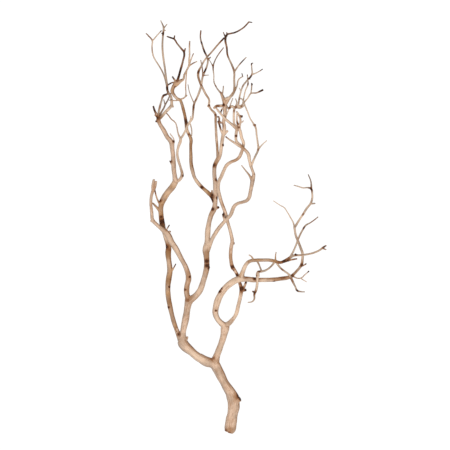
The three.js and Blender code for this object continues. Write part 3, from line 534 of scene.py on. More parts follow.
# The spray at the far left: thin brown strands that part at the outer bough's tip, one
# of them hooked over, and a darker strand that leans across below them.
brown_twig = stripped_wood("brown_twig_skin", "B39A83", "998675", "835F40", "38200F", 0.8)
outer_spray = grow_wood("outer_spray", [
    [[-169, 690, 52, 2.6], [-168, 703, 54.5, 2.3], [-165, 717, 57, 2.2], [-162, 728, 59, 2],
     [-157, 741, 60.5, 2.3], [-151, 743.5, 61, 2], [-146, 747, 61.5, 1.8]],
    [[-169, 688, 50.5, 3.7], [-160, 697, 51, 3.4], [-152, 706, 50.5, 3.3], [-145, 713, 50, 3.3],
     [-140, 720, 48.5, 3.2], [-139.5, 730, 47, 2.9], [-141, 739, 47.5, 2.5],
     [-145, 745, 48.5, 2.4], [-148.5, 752, 50.5, 2.3], [-149.5, 765, 54, 2.4],
     [-151, 775, 57, 2.2], [-153, 790, 61, 2.1], [-154.5, 803, 65, 2.1], [-157, 820, 69, 2.1],
     [-159.5, 845, 74.5, 2.1], [-159, 865, 79, 2], [-158, 877, 82, 2.2], [-157, 890, 86, 1.8],
     [-163.5, 906, 89, 1]],
    [[-157, 888, 85.5, 1.4], [-149, 898, 89, 1]],
    [[-149.5, 762, 53, 2.1], [-154, 778, 53, 1.7], [-159, 792, 53.5, 1.6], [-168, 808, 54, 1.5],
     [-178, 824, 55, 1.5], [-181.5, 835, 55.5, 1.5], [-182.5, 850, 57, 1.5],
     [-182, 862, 58, 1.6], [-190, 872, 59, 1.4], [-196, 878, 60, 1.2]],
    [[-182, 861, 58, 1.4], [-168, 877, 60, 1.3], [-161.5, 884, 61, 1.2]],
    [[-139.5, 724, 48, 2.6], [-136, 715, 47, 1.9]],
    [[-158, 876, 82, 1.5], [-162, 878, 82, 1]],
    [[-156.5, 884, 84, 1.5], [-152, 884, 84, 1]],
], 0.5 * MM,
    dark=[(-154, 742, 8), (-149.6, 757, 7), (-158, 877, 5), (-162, 884, 4), (-165, 716, 10, 0.4),
          (-169, 692, 5, 0.8), (-188, 870, 14, 0.5), (-181, 840, 14, 0.3)],
    brown=[(-167, 696, 9, 0.8), (-155, 800, 24, 0.3)],
    pale=[(-150, 707, 13), (-141, 729, 10, 0.8), (-176, 825, 22, 0.7), (-183, 860, 16, 0.7),
          (-170, 876, 10, 0.7)])
fit(outer_spray, brown_twig, "brown_twig", "hooked_strand", "outer_strand", "left_fork_twig")
low_dark_strand = grow_wood("low_dark_strand", [
    [[-168.5, 690, 49, 2.2], [-163, 703, 46.5, 2], [-157, 713, 45.5, 1.8], [-153, 722, 45, 1.7],
     [-148, 731, 44.5, 1.5], [-144, 740, 47, 1.4], [-139, 750, 55, 1.3], [-134, 758, 62, 1.2]],
    [[-153.5, 720, 45, 1.4], [-157, 733, 48, 1]],
], 0.5 * MM)
fit(low_dark_strand, dark_twig, "dark_twig", "low_strand")

# The centre bough, greyer and straighter, with the limb that crosses over the middle and
# the thin limb that carries on from its top. Two black knots sit low on it.
centre_bough = grow_wood("centre_bough", [
    [[-99, 291, 57, 7.6], [-86, 301, 60, 6.5], [-78, 311, 62, 6.4], [-73, 322, 63, 6.4],
     [-68, 338, 65, 6], [-65, 350, 66, 5.9], [-62.5, 362, 67, 5.8], [-62, 375, 68, 5.7],
     [-63, 390, 69, 6.6], [-63.5, 402, 70, 7.6], [-61, 420, 69.5, 5.9], [-60, 440, 69, 5.6],
     [-58.5, 455, 69, 5.3], [-55, 470, 68.5, 5.6], [-51.5, 480, 68, 5.3],
     [-46.5, 490, 67.5, 5.3], [-44, 501, 67, 4.9], [-43.5, 515, 67, 5.1], [-43, 535, 67, 4.9],
     [-43.5, 550, 68, 4.7], [-45, 562, 69.5, 4.3], [-45.5, 576, 71.5, 4.2],
     [-44, 588, 73.5, 4.4], [-37.5, 602, 76, 4.7]],
    [[-61.5, 400, 70, 5.9], [-53, 419, 73, 4.3], [-50, 426, 74, 4.1], [-43, 438, 76, 4],
     [-37, 447, 77, 4], [-24, 463, 78, 3.9], [-16, 471, 78, 3.7], [-9.5, 479, 78, 3.7],
     [-6, 488, 78.5, 3.9], [-2, 497, 79, 3.9], [5, 503, 80, 3.5], [18, 507, 81, 3.4],
     [27, 511, 82, 3.7], [31.5, 518, 83, 3.9], [34, 530, 85, 3.9], [36.5, 543, 87, 4.1],
     [39, 557, 89, 4.5], [41, 567, 91, 3.2], [38, 577, 92.5, 2.8], [34.5, 587, 94, 3.1]],
    [[-22, 464, 78, 2.6], [-27, 480, 80.5, 1.8]],
    [[37, 555, 89, 3], [32.5, 564, 90.5, 2.3], [24, 575, 92, 1.7], [14, 587.5, 93, 1.3]],
    [[-37, 600, 76, 3.8], [-38.5, 615, 75, 3], [-39.3, 630, 75, 2.8], [-41, 650, 76, 2.6],
     [-42, 668, 78, 2.6], [-42.7, 685, 81, 2.6], [-43.5, 700, 83.5, 2.6], [-53, 711, 84, 2.2],
     [-57, 719, 83, 2.5], [-57, 731, 81.5, 2.1], [-65, 745, 79, 2.4], [-71, 757, 76.5, 2.4],
     [-77, 770, 74, 2.4], [-81, 790, 72, 2.5], [-75, 804, 72, 2], [-65, 821, 73.5, 1.9],
     [-50, 838, 77, 1.8], [-40, 850, 79, 1.8], [-30, 861, 81, 1.8], [-23, 868, 82.5, 1.7]],
    [[-44, 503, 67, 4.6], [-51, 519, 63, 4.2], [-60, 528, 59, 3.3]],
    [[-43, 492, 67, 3.5], [-35, 496, 68, 2.3]],
    [[-60, 362, 67, 4.1], [-56, 361, 67, 2.8]],
    [[-43, 556, 68, 3.5], [-40, 557, 68, 2.3]],
    [[-57, 720, 83, 2.2], [-60.5, 716, 83, 1.8]],
    [[-80, 792, 72, 2.2], [-82, 794, 72, 1.7]],
], 0.6 * MM,
    dark=[(-62, 377, 5.5), (-61, 367, 5.5), (-57, 362, 5), (-49, 491, 4), (-39, 516, 3.5),
          (-36, 495, 3.5), (-46, 588, 6, 0.8), (-41, 556, 3.5), (-37, 552, 3.5), (-52, 520, 8, 0.8),
          (-26, 479, 6, 0.9),
          (-80.5, 793, 5, 0.8), (-24, 867, 12), (44.5, 568, 3, 0.7), (-74, 765, 8, 0.4),
          (-45, 845, 6, 0.3), (-57, 719, 3, 0.8), (-43, 698, 3, 0.8)],
    brown=[(-62, 388, 14), (-63, 355, 10, 0.6), (-52, 482, 16, 0.6), (-42, 594, 12, 0.8),
           (-48, 515, 8, 0.6), (34, 560, 12, 0.5), (-39, 625, 18, 0.9), (-40, 655, 14, 0.5),
           (-43, 690, 18, 0.9),
           (-78, 775, 16, 0.8), (-57, 830, 14, 0.8), (-35, 855, 18, 0.9), (-96, 295, 10, 0.6),
           (-42, 675, 16, 0.7), (-50, 708, 12, 0.6), (-61, 738, 12, 0.6), (-80, 795, 14, 0.7)],
    pale=[(-76, 316, 18, 0.4), (-61, 430, 26, 0.5), (-43, 545, 26, 0.4), (-55, 722, 14, 0.8),
          (-68, 750, 9, 0.5), (-42, 655, 12, 0.4), (-65, 820, 10, 0.5),
          (-20, 466, 30, 0.3)])
fit(centre_bough, grey_wood, "grey_wood", "centre_limb", "over_crossing_limb",
    "centre_thin_limb")

# The back bough: it leaves the centre bough low down, runs behind everything on the left,
# and breaks into two forked twigs, one honey like itself and one nearly black.
back_bough = grow_wood("back_bough", [
    [[-44, 503, 67, 4.2], [-51, 519, 63, 4.2], [-60, 528, 59, 4], [-70, 537, 55, 3.8],
     [-79, 546, 51, 3.8], [-88, 559, 47, 3.7], [-93, 574, 43.5, 3.8], [-96.5, 590, 41, 3.8],
     [-97, 610, 39.5, 3.4], [-97.5, 630, 39.5, 3.4], [-97, 645, 41, 3.7], [-101, 655, 42, 3.3],
     [-106, 666, 43.5, 3.3], [-107, 678, 45.5, 3.3], [-109.5, 692, 48, 3.1],
     [-113, 708, 51, 3.3], [-117, 723, 54.5, 3.2], [-121, 731, 56.5, 3], [-128, 735, 58.5, 3],
     [-134, 742, 60.5, 3.3], [-138, 750, 62, 3.9], [-136, 758, 63.5, 4], [-131, 767, 65.5, 4],
     [-126, 774, 67, 3.8]],
    [[-51, 518, 63, 2.5], [-50.5, 533, 60, 1.7]],
    [[-110, 738, 58, 1.7], [-105, 742, 58.5, 1.3]],
    [[-121, 732, 57, 1.7], [-110, 738, 58, 1.4], [-108, 745, 59, 1.3], [-108.5, 757, 60, 1.3],
     [-108, 772, 61, 1.3], [-106, 795, 62, 1]],
    [[-122, 731, 57, 1.6], [-131, 730, 56, 1.3], [-140, 730.5, 54.5, 1.1], [-146, 731, 54, 1]],
    [[-127, 773, 67, 2.6], [-115, 775, 66.5, 2.3], [-111, 787, 67, 2.1], [-107, 795, 68, 2],
     [-101, 808, 70, 2.1], [-101, 818, 71.5, 1.9], [-100, 830, 73.5, 1.8], [-100, 850, 77, 1.6],
     [-99.5, 861, 79, 1.4]],
    [[-101, 808, 70, 1.8], [-96, 822, 70, 1.3], [-91, 834, 70, 1.1]],
    [[-102, 805, 69.5, 1.6], [-92, 812, 68, 1.3], [-83, 816, 67, 1.1]],
    [[-72, 538, 54, 3.1], [-74, 541, 54, 2.5]],
    [[-132, 762, 65, 3.8], [-126, 768, 66, 4.4], [-120, 773, 66, 3.5], [-114, 776, 66, 2.5]],
    [[-131, 772, 66, 2.3], [-134, 777, 67, 1.9], [-138, 783, 68, 1.5]],
    [[-130, 771, 66, 1.7], [-139, 769, 64, 1.4], [-148, 764, 60, 1.4]],
], 0.55 * MM,
    dark=[(-50, 514, 9), (-73, 539, 4), (-102, 655, 4, 0.7), (-108, 684, 9, 0.9),
          (-127, 774, 5, 0.6), (-114, 712, 8, 0.35), (-137, 782, 7), (-143, 767, 8),
          (-132, 760, 3, 0.7), (-118, 777, 3, 0.6), (-108, 760, 24, 0.3), (-92, 812, 7, 0.6),
          (-93, 832, 7, 0.5), (-100, 855, 12, 0.35)],
    brown=[(-54, 520, 12), (-70, 538, 8, 0.7), (-97, 632, 22, 0.8), (-112, 702, 18, 0.9),
           (-134, 755, 12, 0.6), (-97, 600, 16, 0.4)],
    pale=[(-84, 552, 14, 0.7), (-92, 570, 12, 0.6), (-104, 663, 6, 0.7), (-130, 738, 7, 0.8),
          (-104, 830, 34, 0.8), (-107, 765, 22, 0.5)])
fit(back_bough, honey_wood, "honey_wood", "back_limb", "honey_forked_twig")
back_dark_twig = grow_wood("back_dark_twig", [
    [[-127, 772, 67, 2.7], [-123, 785, 70, 2.3], [-119, 800, 73, 2.2], [-115, 815, 76, 2.1],
     [-112, 836, 80, 2], [-118, 844, 81.5, 1.9], [-127, 855, 83, 1.8], [-134, 865, 85, 1.8],
     [-142, 868, 86, 1.7], [-150, 871, 87, 1.4]],
    [[-112, 834, 80, 1.8], [-109, 845, 82, 1.3]],
    [[-134, 864, 85, 1.7], [-132.5, 873, 87, 1.3]],
], 0.5 * MM, dark=[(-122, 790, 22, 0.9), (-113, 832, 16, 0.8), (-140, 868, 18, 0.8)])
fit(back_dark_twig, dark_twig, "dark_twig", "dark_forked_twig")

# The upright bough that takes over from the centre bough: pale stripped wood with broken
# spurs on its flanks and a swollen top, where the last shoots part.
upright_bough = grow_wood("upright_bough", [
    [[-37, 601, 76, 4.4], [-32.5, 612, 78.5, 3.8], [-30.5, 625, 80.5, 3.6],
     [-28.5, 640, 83, 3.7], [-26.5, 652, 85, 3.7], [-24, 662, 87, 3.7], [-23.5, 672, 88.5, 3.7],
     [-25, 683, 90, 3.5], [-23, 695, 92, 3.5], [-22, 708, 94, 3.7], [-23, 722, 96, 3.9],
     [-23, 732, 97.5, 4.7]],
    [[-25, 654, 85.5, 3], [-15.5, 664, 87, 2.2]],
    [[-27, 656, 85.5, 2.5], [-31, 665, 86.5, 2.1], [-34, 676, 87, 2], [-38, 685, 88, 1.7]],
    [[-24, 718, 95.5, 3.2], [-34, 718, 97, 2.8], [-41, 717.5, 97.5, 2.6], [-47, 712, 97.5, 2.2]],
    [[-22, 720, 96, 3.6], [-15, 732, 98.5, 3.3], [-9, 740, 100.5, 2.8], [-3, 749, 102, 2.2]],
    [[-23, 722, 96, 3.4], [-27, 736, 99, 3], [-31, 746, 101, 2.2]],
    [[-28, 632, 82, 3.1], [-24.5, 632, 82, 2.5]],
    [[-29, 680, 89, 2.2], [-34, 684, 89, 1.8], [-36, 694, 90, 1.7], [-39, 694, 90, 1.5]],
    [[-23.5, 700, 93, 2.5], [-26, 712, 95, 1.8], [-32, 702, 95, 1.5]],
    [[-21, 730, 97, 2.9], [-16, 738, 98, 1.7]],
], 0.5 * MM,
    dark=[(-26, 632, 3), (-25, 720, 4), (-29, 707, 3.5), (-38, 694, 3), (-33, 674, 9, 0.8),
          (-37, 686, 8, 0.8), (-38, 717, 6, 0.6)],
    brown=[(-24, 728, 14, 0.6), (-14, 736, 10, 0.6), (-30, 744, 8, 0.6), (-37, 604, 9, 0.5),
           (-40, 717, 9, 0.6)],
    pale=[(-30, 625, 14, 0.6), (-24, 665, 18, 0.6), (-23, 700, 12, 0.6)])
fit(upright_bough, pale_wood, "pale_wood", "centre_upright_limb")

# The twigs on the upright bough: the tallest one, brown, hooks over to the right at its
# tip; a dark one leans left; a thin link joins them lower down.
tall_twigs = grow_wood("tall_twigs", [
    [[-23, 732, 97.5, 3.6], [-13, 736, 100, 2.9], [-3.5, 746, 102, 2.6], [-1.5, 757, 103, 2.4],
     [-2, 775, 105.5, 2.2], [-2, 793, 108, 2.2], [-7, 808, 109.5, 2], [-13, 821, 111, 1.9],
     [-16.5, 830, 112, 1.9], [-18, 845, 114, 1.9], [-21, 865, 116, 2.2], [-17, 874.5, 117, 2],
     [-10, 876.5, 117, 1.7], [0, 879, 116, 1.7], [10, 884, 114, 1.6], [20, 891, 111, 1.5],
     [31, 903, 107, 1.5]],
    [[-2, 792, 108, 1.7], [10, 809, 108.5, 1.4], [25, 825, 109, 1]],
    [[-2, 747, 102.5, 1.8], [4, 761, 102, 1.6], [8, 776, 101.5, 1.4], [18, 783, 101, 1]],
    [[-23.5, 682, 90, 1.6], [-19, 697, 94.5, 1.3], [-14, 710, 97, 1.3], [-9, 724, 98.5, 1.2],
     [-4.5, 735, 99, 1.1]],
    [[-20, 866, 116, 1.7], [-26, 880, 117, 1]],
    [[-18, 870, 116, 1.6], [-18, 880, 117, 1]],
    [[31, 902, 107, 1.4], [38, 901, 105, 1]],
    [[17, 782, 101, 1.1], [15, 790, 101, 0.9]],
], 0.5 * MM,
    dark=[(-19, 868, 14), (-15, 838, 16, 0.7), (0, 880, 16, 0.8), (22, 893, 16, 0.6),
          (36, 902, 6, 0.8), (16, 787, 5), (16, 816, 9, 0.9), (-3, 800, 8, 0.4)],
    brown=[(-2, 752, 12, 0.7), (-3, 800, 16, 0.3)],
    pale=[(-15, 708, 16, 0.9), (-16, 735, 9, 0.8), (-2, 774, 12, 0.6), (6, 803, 6, 0.5)])
fit(tall_twigs, brown_twig, "brown_twig", "upright_right_twig", "inner_link_twig")
leaning_twig = grow_wood("leaning_twig", [
    [[-24, 733, 98, 2.9], [-30, 745, 100.5, 2.2], [-37, 753, 102, 1.6], [-42, 761, 103, 1.4],
     [-46, 770, 104, 1.4], [-46.5, 785, 105, 1.2], [-48, 804, 106.5, 1.6],
     [-45, 815, 107.5, 1.4], [-37, 830, 109, 1.3], [-25, 846, 111, 1.1]],
    [[-48, 803, 106.5, 1.2], [-54, 815, 107, 0.9], [-58, 820, 107.5, 0.8]],
    [[-28, 742, 100, 1.8], [-26, 754, 102.5, 1.4], [-25.5, 762, 104, 1.2]],
], 0.5 * MM,
    dark=[(-48, 804, 5, 0.7), (-31, 746, 4, 0.6), (-42, 762, 3, 0.6), (-31, 838, 14, 0.5)],
    pale=[(-46, 782, 16, 0.6), (-27, 753, 10, 0.4)])
fit(leaning_twig, dark_twig, "dark_twig", "upright_left_twig")

# The tail of the looping bough: it hangs to the floor, turns up again and ends in two
# twigs, one brown and thin, one dark with a bent end.
looping_tail = grow_wood("looping_tail", [
    [[119, 341.5, 25.5, 3.3], [127, 346, 21, 2.8], [135, 354, 16, 2.8], [143, 363, 10.7, 2.9],
     [147, 370, 7.3, 3], [148.5, 380, 4.2, 2.9], [149, 392, 2.8, 2.8], [145, 405, 3.8, 2.7],
     [140, 418, 6.8, 2.6], [134, 433, 10.6, 2.3], [132, 443, 13.6, 2.3], [131, 453, 16.5, 2.6]],
    [[146, 366, 9.1, 1.9], [152, 368, 10.1, 1.6], [157.5, 371.5, 11.1, 1.3]],
    [[127, 346, 21, 2.1], [131, 341.5, 22, 1.5], [145, 339.5, 25, 1.3], [154, 347, 26, 1.2],
     [162, 354, 28, 1.1]],
    [[144, 339.5, 25, 1.2], [151, 335, 24, 1.1], [158, 331, 24, 0.9]],
    [[118, 341, 26, 2.8], [124, 343, 23, 3.6], [130, 349, 19, 2.9]],
    [[161, 353, 28, 1.4], [163, 355, 28, 1.4]],
], 0.5 * MM, dark=[(147, 368, 5, 0.8), (162, 354, 4), (126, 345, 5, 0.7), (157, 371, 5, 0.8)],
    brown=[(130, 349, 14, 0.7), (146, 372, 12, 0.5), (143, 410, 12, 0.2)],
    pale=[(148, 392, 12, 0.6), (133, 442, 10, 0.3)])
fit(looping_tail, grey_wood, "grey_wood", "looping_limb_tail")
tail_brown_twig = grow_wood("tail_brown_twig", [
    [[131.5, 450, 16, 1.9], [128, 462, 19, 1.5], [122, 473, 21.5, 1.4], [115, 485, 24, 1.2],
     [109, 494, 26, 1.2], [99, 500, 28, 1.1], [84, 510, 31, 0.9]],
], 0.5 * MM, pale=[(118, 480, 20, 0.9), (90, 505, 18, 0.9)])
fit(tail_brown_twig, brown_twig, "brown_twig", "tail_left_twig")
tail_dark_twig = grow_wood("tail_dark_twig", [
    [[131.5, 451, 16.5, 2.5], [142, 468, 20.5, 2.2], [150, 480, 23.5, 2.2],
     [158, 493, 26.5, 2.4], [166.5, 504, 29, 2.2], [170, 515, 31, 2], [170, 525, 33, 2],
     [167.5, 536, 35.5, 2.2], [160, 538.5, 36.5, 1.7], [150, 538, 37.5, 1.5],
     [140, 541, 38.5, 1.4], [129, 544, 39.5, 1.1]],
    [[166, 503, 29, 2], [177, 504, 30.5, 1.5]],
    [[168, 535, 35.5, 2], [167, 552, 39.5, 1.5], [161, 568, 43, 1.1]],
], 0.5 * MM, dark=[(167, 535, 6, 0.9), (150, 480, 5, 0.5)],
    pale=[(146, 474, 20, 0.9), (162, 499, 12, 0.7), (169, 520, 12, 0.9), (145, 540, 14, 0.8)])
fit(tail_dark_twig, dark_twig, "dark_twig", "tail_right_twig")

# The middle bough, pale with brown stretches: up out of the right arm's fork, under the
# looping bough, and on in a long S to the top. Broken stubs and a black knob mark its
# lower bend.
middle_bough = grow_wood("middle_bough", [
    [[-21, 234, 50, 5.5], [-13, 240, 48, 4.6], [-7, 246, 46, 4.1], [-1, 254, 44, 3.9],
     [3, 262, 42, 4], [7, 277, 40, 4], [10, 290, 39, 3.9], [12.5, 302, 38.5, 4.1],
     [14, 315, 38.5, 3.9], [10, 330, 40, 3.5], [5, 347, 42.5, 3.3], [0, 356, 44, 3.3],
     [-6, 365, 45.5, 3.9], [-9, 378, 48, 3.9], [-9.5, 395, 50.5, 3.9], [-8, 410, 53, 3.9],
     [-6, 421, 54.5, 3.8], [-9, 437, 56.5, 3.5], [-13, 452, 58, 3.5], [-17, 466, 60, 3.5],
     [-21, 482, 63.5, 3.6], [-26, 496, 67.5, 3.7], [-31, 510, 72, 3.7], [-35, 525, 76, 3.6],
     [-37, 540, 78, 3.6], [-35, 553, 79, 3.6], [-30, 563, 79.5, 3.6], [-25, 575, 80, 3.5],
     [-18, 588, 81, 3.7], [-8, 595, 82, 3.4], [2, 599, 82.5, 3.3], [9, 605, 83, 3.4],
     [13.5, 614, 83.5, 3.4], [18, 628, 84, 3.3]],
    [[15, 314, 38.5, 3.1], [20, 320, 37, 2.7], [25, 333, 35, 2.1]],
    [[15, 312, 39, 3.3], [25, 313.5, 40, 2.7]],
    [[-5, 362, 45, 3.5], [-9, 361, 45, 2.5]],
    [[-5, 416, 54, 3.1], [-1, 416, 54, 2.1]],
    [[-22, 484, 64, 2.9], [-27, 479, 63, 1.8]],
], 0.6 * MM,
    dark=[(14, 316, 7), (24, 332, 6), (24, 313, 5), (-6, 364, 5), (4, 346, 5, 0.8),
          (-1, 416, 3, 0.7), (-27, 481, 5, 0.8), (12, 327, 5, 0.6), (-3, 357, 3, 0.6)],
    brown=[(12, 314, 10), (5, 344, 10, 0.8), (-8, 380, 22), (-9, 400, 12, 0.6),
           (-20, 476, 9, 0.5), (-26, 500, 9, 0.7), (0, 600, 12, 0.7), (17, 624, 9, 0.5)],
    pale=[(2, 262, 26, 0.7), (9, 296, 12, 0.5), (8, 337, 4, 0.8), (-11, 443, 12, 0.6),
          (-22, 482, 7, 0.5), (-35, 535, 22, 0.4), (-27, 572, 20, 0.4)])
fit(middle_bough, pale_wood, "pale_wood", "middle_limb")

# The two pale tops on the right, one from the middle bough and one from the crossing limb.
# They twist round each other below the tangle of dark twigs.
middle_bough_top = grow_wood("middle_bough_top", [
    [[17.5, 626, 84, 3.1], [18.5, 637, 84.8, 3.3], [14.5, 648, 86, 3.1], [12, 660, 87, 3.1],
     [9, 670, 88, 3.4], [11.5, 680, 90, 2.3], [12, 688, 92, 2.2], [8, 699, 95, 2.1],
     [3, 706, 97.5, 1.8]],
    [[8.5, 671, 88.5, 2.6], [4.5, 684, 91, 2], [4.5, 701, 94, 1.5]],
    [[9.5, 696, 94.5, 2.3], [16.5, 694.5, 96, 2.5]],
    [[13, 682, 90, 1.6], [15, 682, 90, 1.4], [19, 686, 91, 1.1]],
], 0.5 * MM, dark=[(5.5, 680, 5, 0.7), (12, 696, 3, 0.6), (16, 694.5, 4), (9, 671, 3, 0.6)],
    brown=[(11, 688, 8, 0.4)], pale=[(15, 645, 26), (9, 686, 8, 0.5), (7, 699, 10, 0.8)])
fit(middle_bough_top, pale_wood, "pale_wood", "middle_upper_limb")
right_top = grow_wood("right_top", [
    [[34.5, 585, 93.8, 3], [31.5, 600, 95, 3.3], [29, 612, 96, 3.5], [19, 624, 96.5, 3.3],
     [10, 633, 96.5, 3.1], [3, 641, 96.5, 2.8], [2, 651, 96.5, 3], [3, 661, 96.5, 3.1],
     [3.5, 670, 96.5, 3.2], [-1.5, 678, 97, 2.5], [-2.5, 688, 98, 2.4], [-2.5, 702, 99.5, 2.2],
     [-1.5, 713, 101, 2.4]],
    [[17, 626, 97, 3.1], [6, 632, 99, 2.7], [-2, 637.5, 100, 2.2], [-11, 643, 100.5, 1.9],
     [-21, 651, 100.5, 1.5]],
    [[4, 667, 97, 3.1], [-8, 678, 99.5, 2.8], [-20, 688, 101.5, 2.5], [-31, 700, 103, 2.2],
     [-42, 714, 104, 1.9]],
], 0.5 * MM, dark=[(2.5, 652, 3), (-2, 707, 4, 0.5), (-19, 650, 4, 0.6)],
    brown=[(18, 626, 8, 0.8), (3, 668, 6, 0.5)],
    pale=[(32, 600, 16, 0.9), (4, 645, 14, 0.6), (-1, 692, 14, 0.9), (-22, 690, 18, 0.8)])
fit(right_top, pale_wood, "pale_wood", "right_upper_limb")

# The tangle at the upper right: thin brown twigs that leave the right-hand top at its
# foot, and knottier ones with dark joints that cross them.
brown_tangle = grow_wood("brown_tangle", [
    [[35, 584, 93.5, 2.6], [39, 595, 93.5, 2.3], [44, 606, 93.5, 2.1], [51, 623, 94, 2.3],
     [50, 636, 95, 2], [48, 650, 96, 1.9], [44.5, 673, 99, 1.9], [40, 680, 100.5, 1.7],
     [33, 691, 103, 1.5], [28, 704, 105.5, 1.5], [23, 716, 108, 1.5], [19, 726, 109.5, 1.5],
     [15, 733, 110, 1.4], [9, 734.5, 110, 1.2]],
    [[51, 622, 94, 1.8], [60, 633, 95, 1.3], [70, 642, 96, 1.1]],
    [[17, 722, 102.3, 1.5], [19, 734, 99, 1.4], [23, 752, 98, 1.4], [28.5, 766, 98.5, 1.6],
     [28, 776, 99, 1.3], [27, 787, 100, 1]],
    [[40, 678, 100, 1.5], [42, 675, 99, 1.9], [46, 677, 99, 1.5]],
    [[11, 734, 110, 1.3], [8, 731, 110, 1.4]],
    [[13, 750, 102, 1.1], [9, 758, 102, 0.8]],
], 0.5 * MM,
    dark=[(44, 676, 4, 0.6), (9, 731, 4, 0.7), (29, 766, 4, 0.8), (27, 787, 5, 0.7),
          (51, 622, 4, 0.5)],
    pale=[(36, 590, 14, 0.9), (48, 648, 24, 0.8), (30, 698, 20, 0.9), (67, 640, 8, 0.8),
          (22, 748, 20, 0.9)])
fit(brown_tangle, brown_twig, "brown_twig", "right_side_twig", "small_upright_twig")
dark_tangle = grow_wood("dark_tangle", [
    [[-19, 719, 103.5, 1.8], [-14, 712.5, 103, 2.3], [-7, 717, 102, 2.5], [-1, 714, 101.5, 2.8],
     [6, 717, 101, 2.5], [13, 718, 102, 2.1], [21, 727, 103, 1.8], [28, 735, 104, 1.6],
     [35, 745, 105.5, 1.6], [47, 746.5, 106.5, 1.5], [55, 750, 107.5, 1.8],
     [62, 753.5, 108.5, 1.9]],
    [[34.5, 744, 105.5, 1.4], [36, 753, 107, 1.4], [37, 767, 109, 1.6]],
    [[3, 716, 101.5, 2.1], [10, 713, 101, 1.8], [21, 719, 101.5, 1.3]],
    [[0, 715, 102, 1.8], [4, 725, 104, 1.4], [1, 734, 106, 1.2]],
    [[7, 716, 101, 1.9], [8.5, 729, 101.5, 1.9], [12, 746, 102.5, 1.8], [17, 761, 103.5, 1.8],
     [26, 773, 104.5, 1.7], [37, 787, 106, 1.8], [37, 799, 108, 1.4], [36, 811, 110, 1.3]],
    [[36, 786, 106, 1.5], [50, 792, 106.5, 1.2], [61, 799, 107, 1]],
    [[36, 768, 109, 1.4], [38.5, 764, 109, 1.2]],
    [[36, 811, 110, 1.2], [40, 812, 110, 1]],
    [[32, 780, 105, 1.3], [33, 776, 105, 1.1]],
], 0.5 * MM,
    dark=[(-12, 714, 4, 0.7), (2, 715, 4, 0.6), (14, 717, 3, 0.6), (37, 766, 4), (58, 752, 8),
          (33, 781, 7), (36, 811, 4), (60, 799, 7), (17, 762, 5, 0.4), (45, 746, 6, 0.4)],
    pale=[(-5, 716, 5, 0.8), (8, 718, 5, 0.8), (27, 734, 10, 0.8), (12, 744, 14, 0.8),
          (48, 748, 8, 0.5), (48, 791, 9, 0.6)])
fit(dark_tangle, brown_twig, "brown_twig", "knotty_cross_twig", "upright_dark_twig")

# The right bough, honey brown, that springs off the looping bough where it turns level,
# and its twigs: two reach out to the right, one droops to the tail and one dangles.
right_bough = grow_wood("right_bough", [
    [[11, 338, 64.5, 5.9], [17, 353, 64, 4.5], [21, 363, 64, 4.1], [26, 371.5, 64, 3.9],
     [33, 377, 64, 3.9], [45, 379, 64, 3.7], [60, 379, 64, 3.5], [75, 379, 65, 3.5],
     [87, 377, 65, 3.5], [100, 374, 65, 3.1], [108, 377, 65, 2.9], [115, 381, 66, 3],
     [123, 386, 66, 3.1]],
    [[102, 374, 64.5, 2.5], [117, 378, 61.5, 2], [127, 380.5, 59.5, 1.8], [137, 382, 58, 1.4]],
    [[89, 376, 66, 2.1], [89, 388, 69, 1.4], [90.5, 397, 71, 1.2]],
    [[41, 379, 65, 2], [36, 387, 66.5, 1.4], [30, 391, 67.5, 1.2]],
], 0.55 * MM, dark=[(30, 375, 4, 0.4), (108, 377, 7), (118, 383, 4, 0.6), (98, 375, 6, 0.5),
                  (116, 378, 6, 0.8), (132, 381, 8, 0.6)],
    brown=[(50, 379, 16, 0.6), (98, 376, 18)], pale=[(21, 362, 13), (60, 380, 20, 0.3)])
fit(right_bough, honey_wood, "honey_wood", "right_limb")
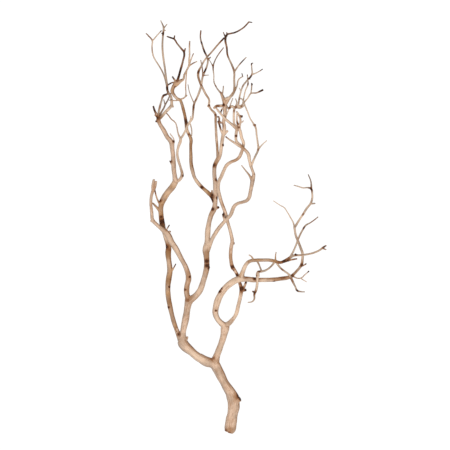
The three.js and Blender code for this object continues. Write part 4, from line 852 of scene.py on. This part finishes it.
right_twigs = grow_wood("right_twigs", [
    [[121, 385, 66, 2.4], [128, 398, 68.5, 2], [134, 412, 71, 1.9], [140, 428, 74, 1.9],
     [149, 446, 78, 1.8], [155.5, 455.5, 80, 1.9], [165, 461, 81.5, 1.4], [175, 468, 83, 1.3],
     [183, 474.5, 84.5, 1.1]],
    [[121.5, 385.5, 66, 2.8], [131, 389.5, 66, 2.5], [142, 390, 65, 2.1], [152, 391, 64, 2.1],
     [165, 393, 63, 2], [178, 397, 62, 2], [187, 401.5, 61, 2.1], [194, 407, 60, 2.1],
     [201, 411.5, 59, 1.5]],
    [[90, 375, 64.5, 2.4], [100, 362, 56.5, 2], [110, 354, 49, 2], [118, 348, 41.5, 2.2],
     [123, 340, 35.5, 2.5], [128, 330, 29.5, 2.2], [133, 320, 25, 1.9], [137, 312, 22, 2],
     [145, 309.5, 20, 1.5], [154, 309, 19, 1.2]],
    [[88, 376, 65, 2.4], [80, 366, 67, 2], [70, 358, 68, 2], [58, 354, 68, 2.3],
     [50, 352.5, 67, 2.7], [49, 342, 65.5, 2.8], [49, 330, 63, 2.7], [48, 320, 60, 2.7],
     [46, 312, 57, 2.7], [42.5, 303, 54, 2.3], [42.5, 294, 51.5, 1.9], [38, 288, 50, 1.5],
     [28, 286, 49, 1.2]],
    [[47, 379, 64.5, 2.1], [52, 371, 66, 1.9], [56, 361, 67.5, 1.7], [59, 354.5, 68, 1.9]],
    [[132, 389, 66, 2.1], [134, 393, 67, 1.9]],
    [[192, 405, 60, 1.6], [201, 402, 59, 1.2]],
    [[55, 353, 68, 1.7], [50, 354, 68, 2.1]],
    [[52, 353, 67, 1.6], [53, 342, 66, 1.3]],
    [[44, 307, 56, 2.1], [38, 311, 56, 1.7]],
], 0.5 * MM, dark=[(134, 392, 4), (196, 408, 6, 0.8), (53, 356, 4), (46, 345, 3, 0.6),
                   (42, 308, 7, 0.8), (152, 450, 5, 0.8), (125, 335, 9, 0.5), (137, 312, 4),
                   (104, 358, 6, 0.5), (140, 428, 16, 0.3), (175, 467, 14, 0.5),
                   (146, 390, 10, 0.3)],
    brown=[(43, 303, 12, 0.7)],
    pale=[(50, 332, 18), (92, 372, 6, 0.6), (130, 402, 16, 0.25), (158, 392, 30, 0.2),
          (118, 348, 16, 0.4)])
fit(right_twigs, brown_twig, "brown_twig", "right_rising_twig", "right_level_twig",
    "drooping_twig", "dangling_twig")
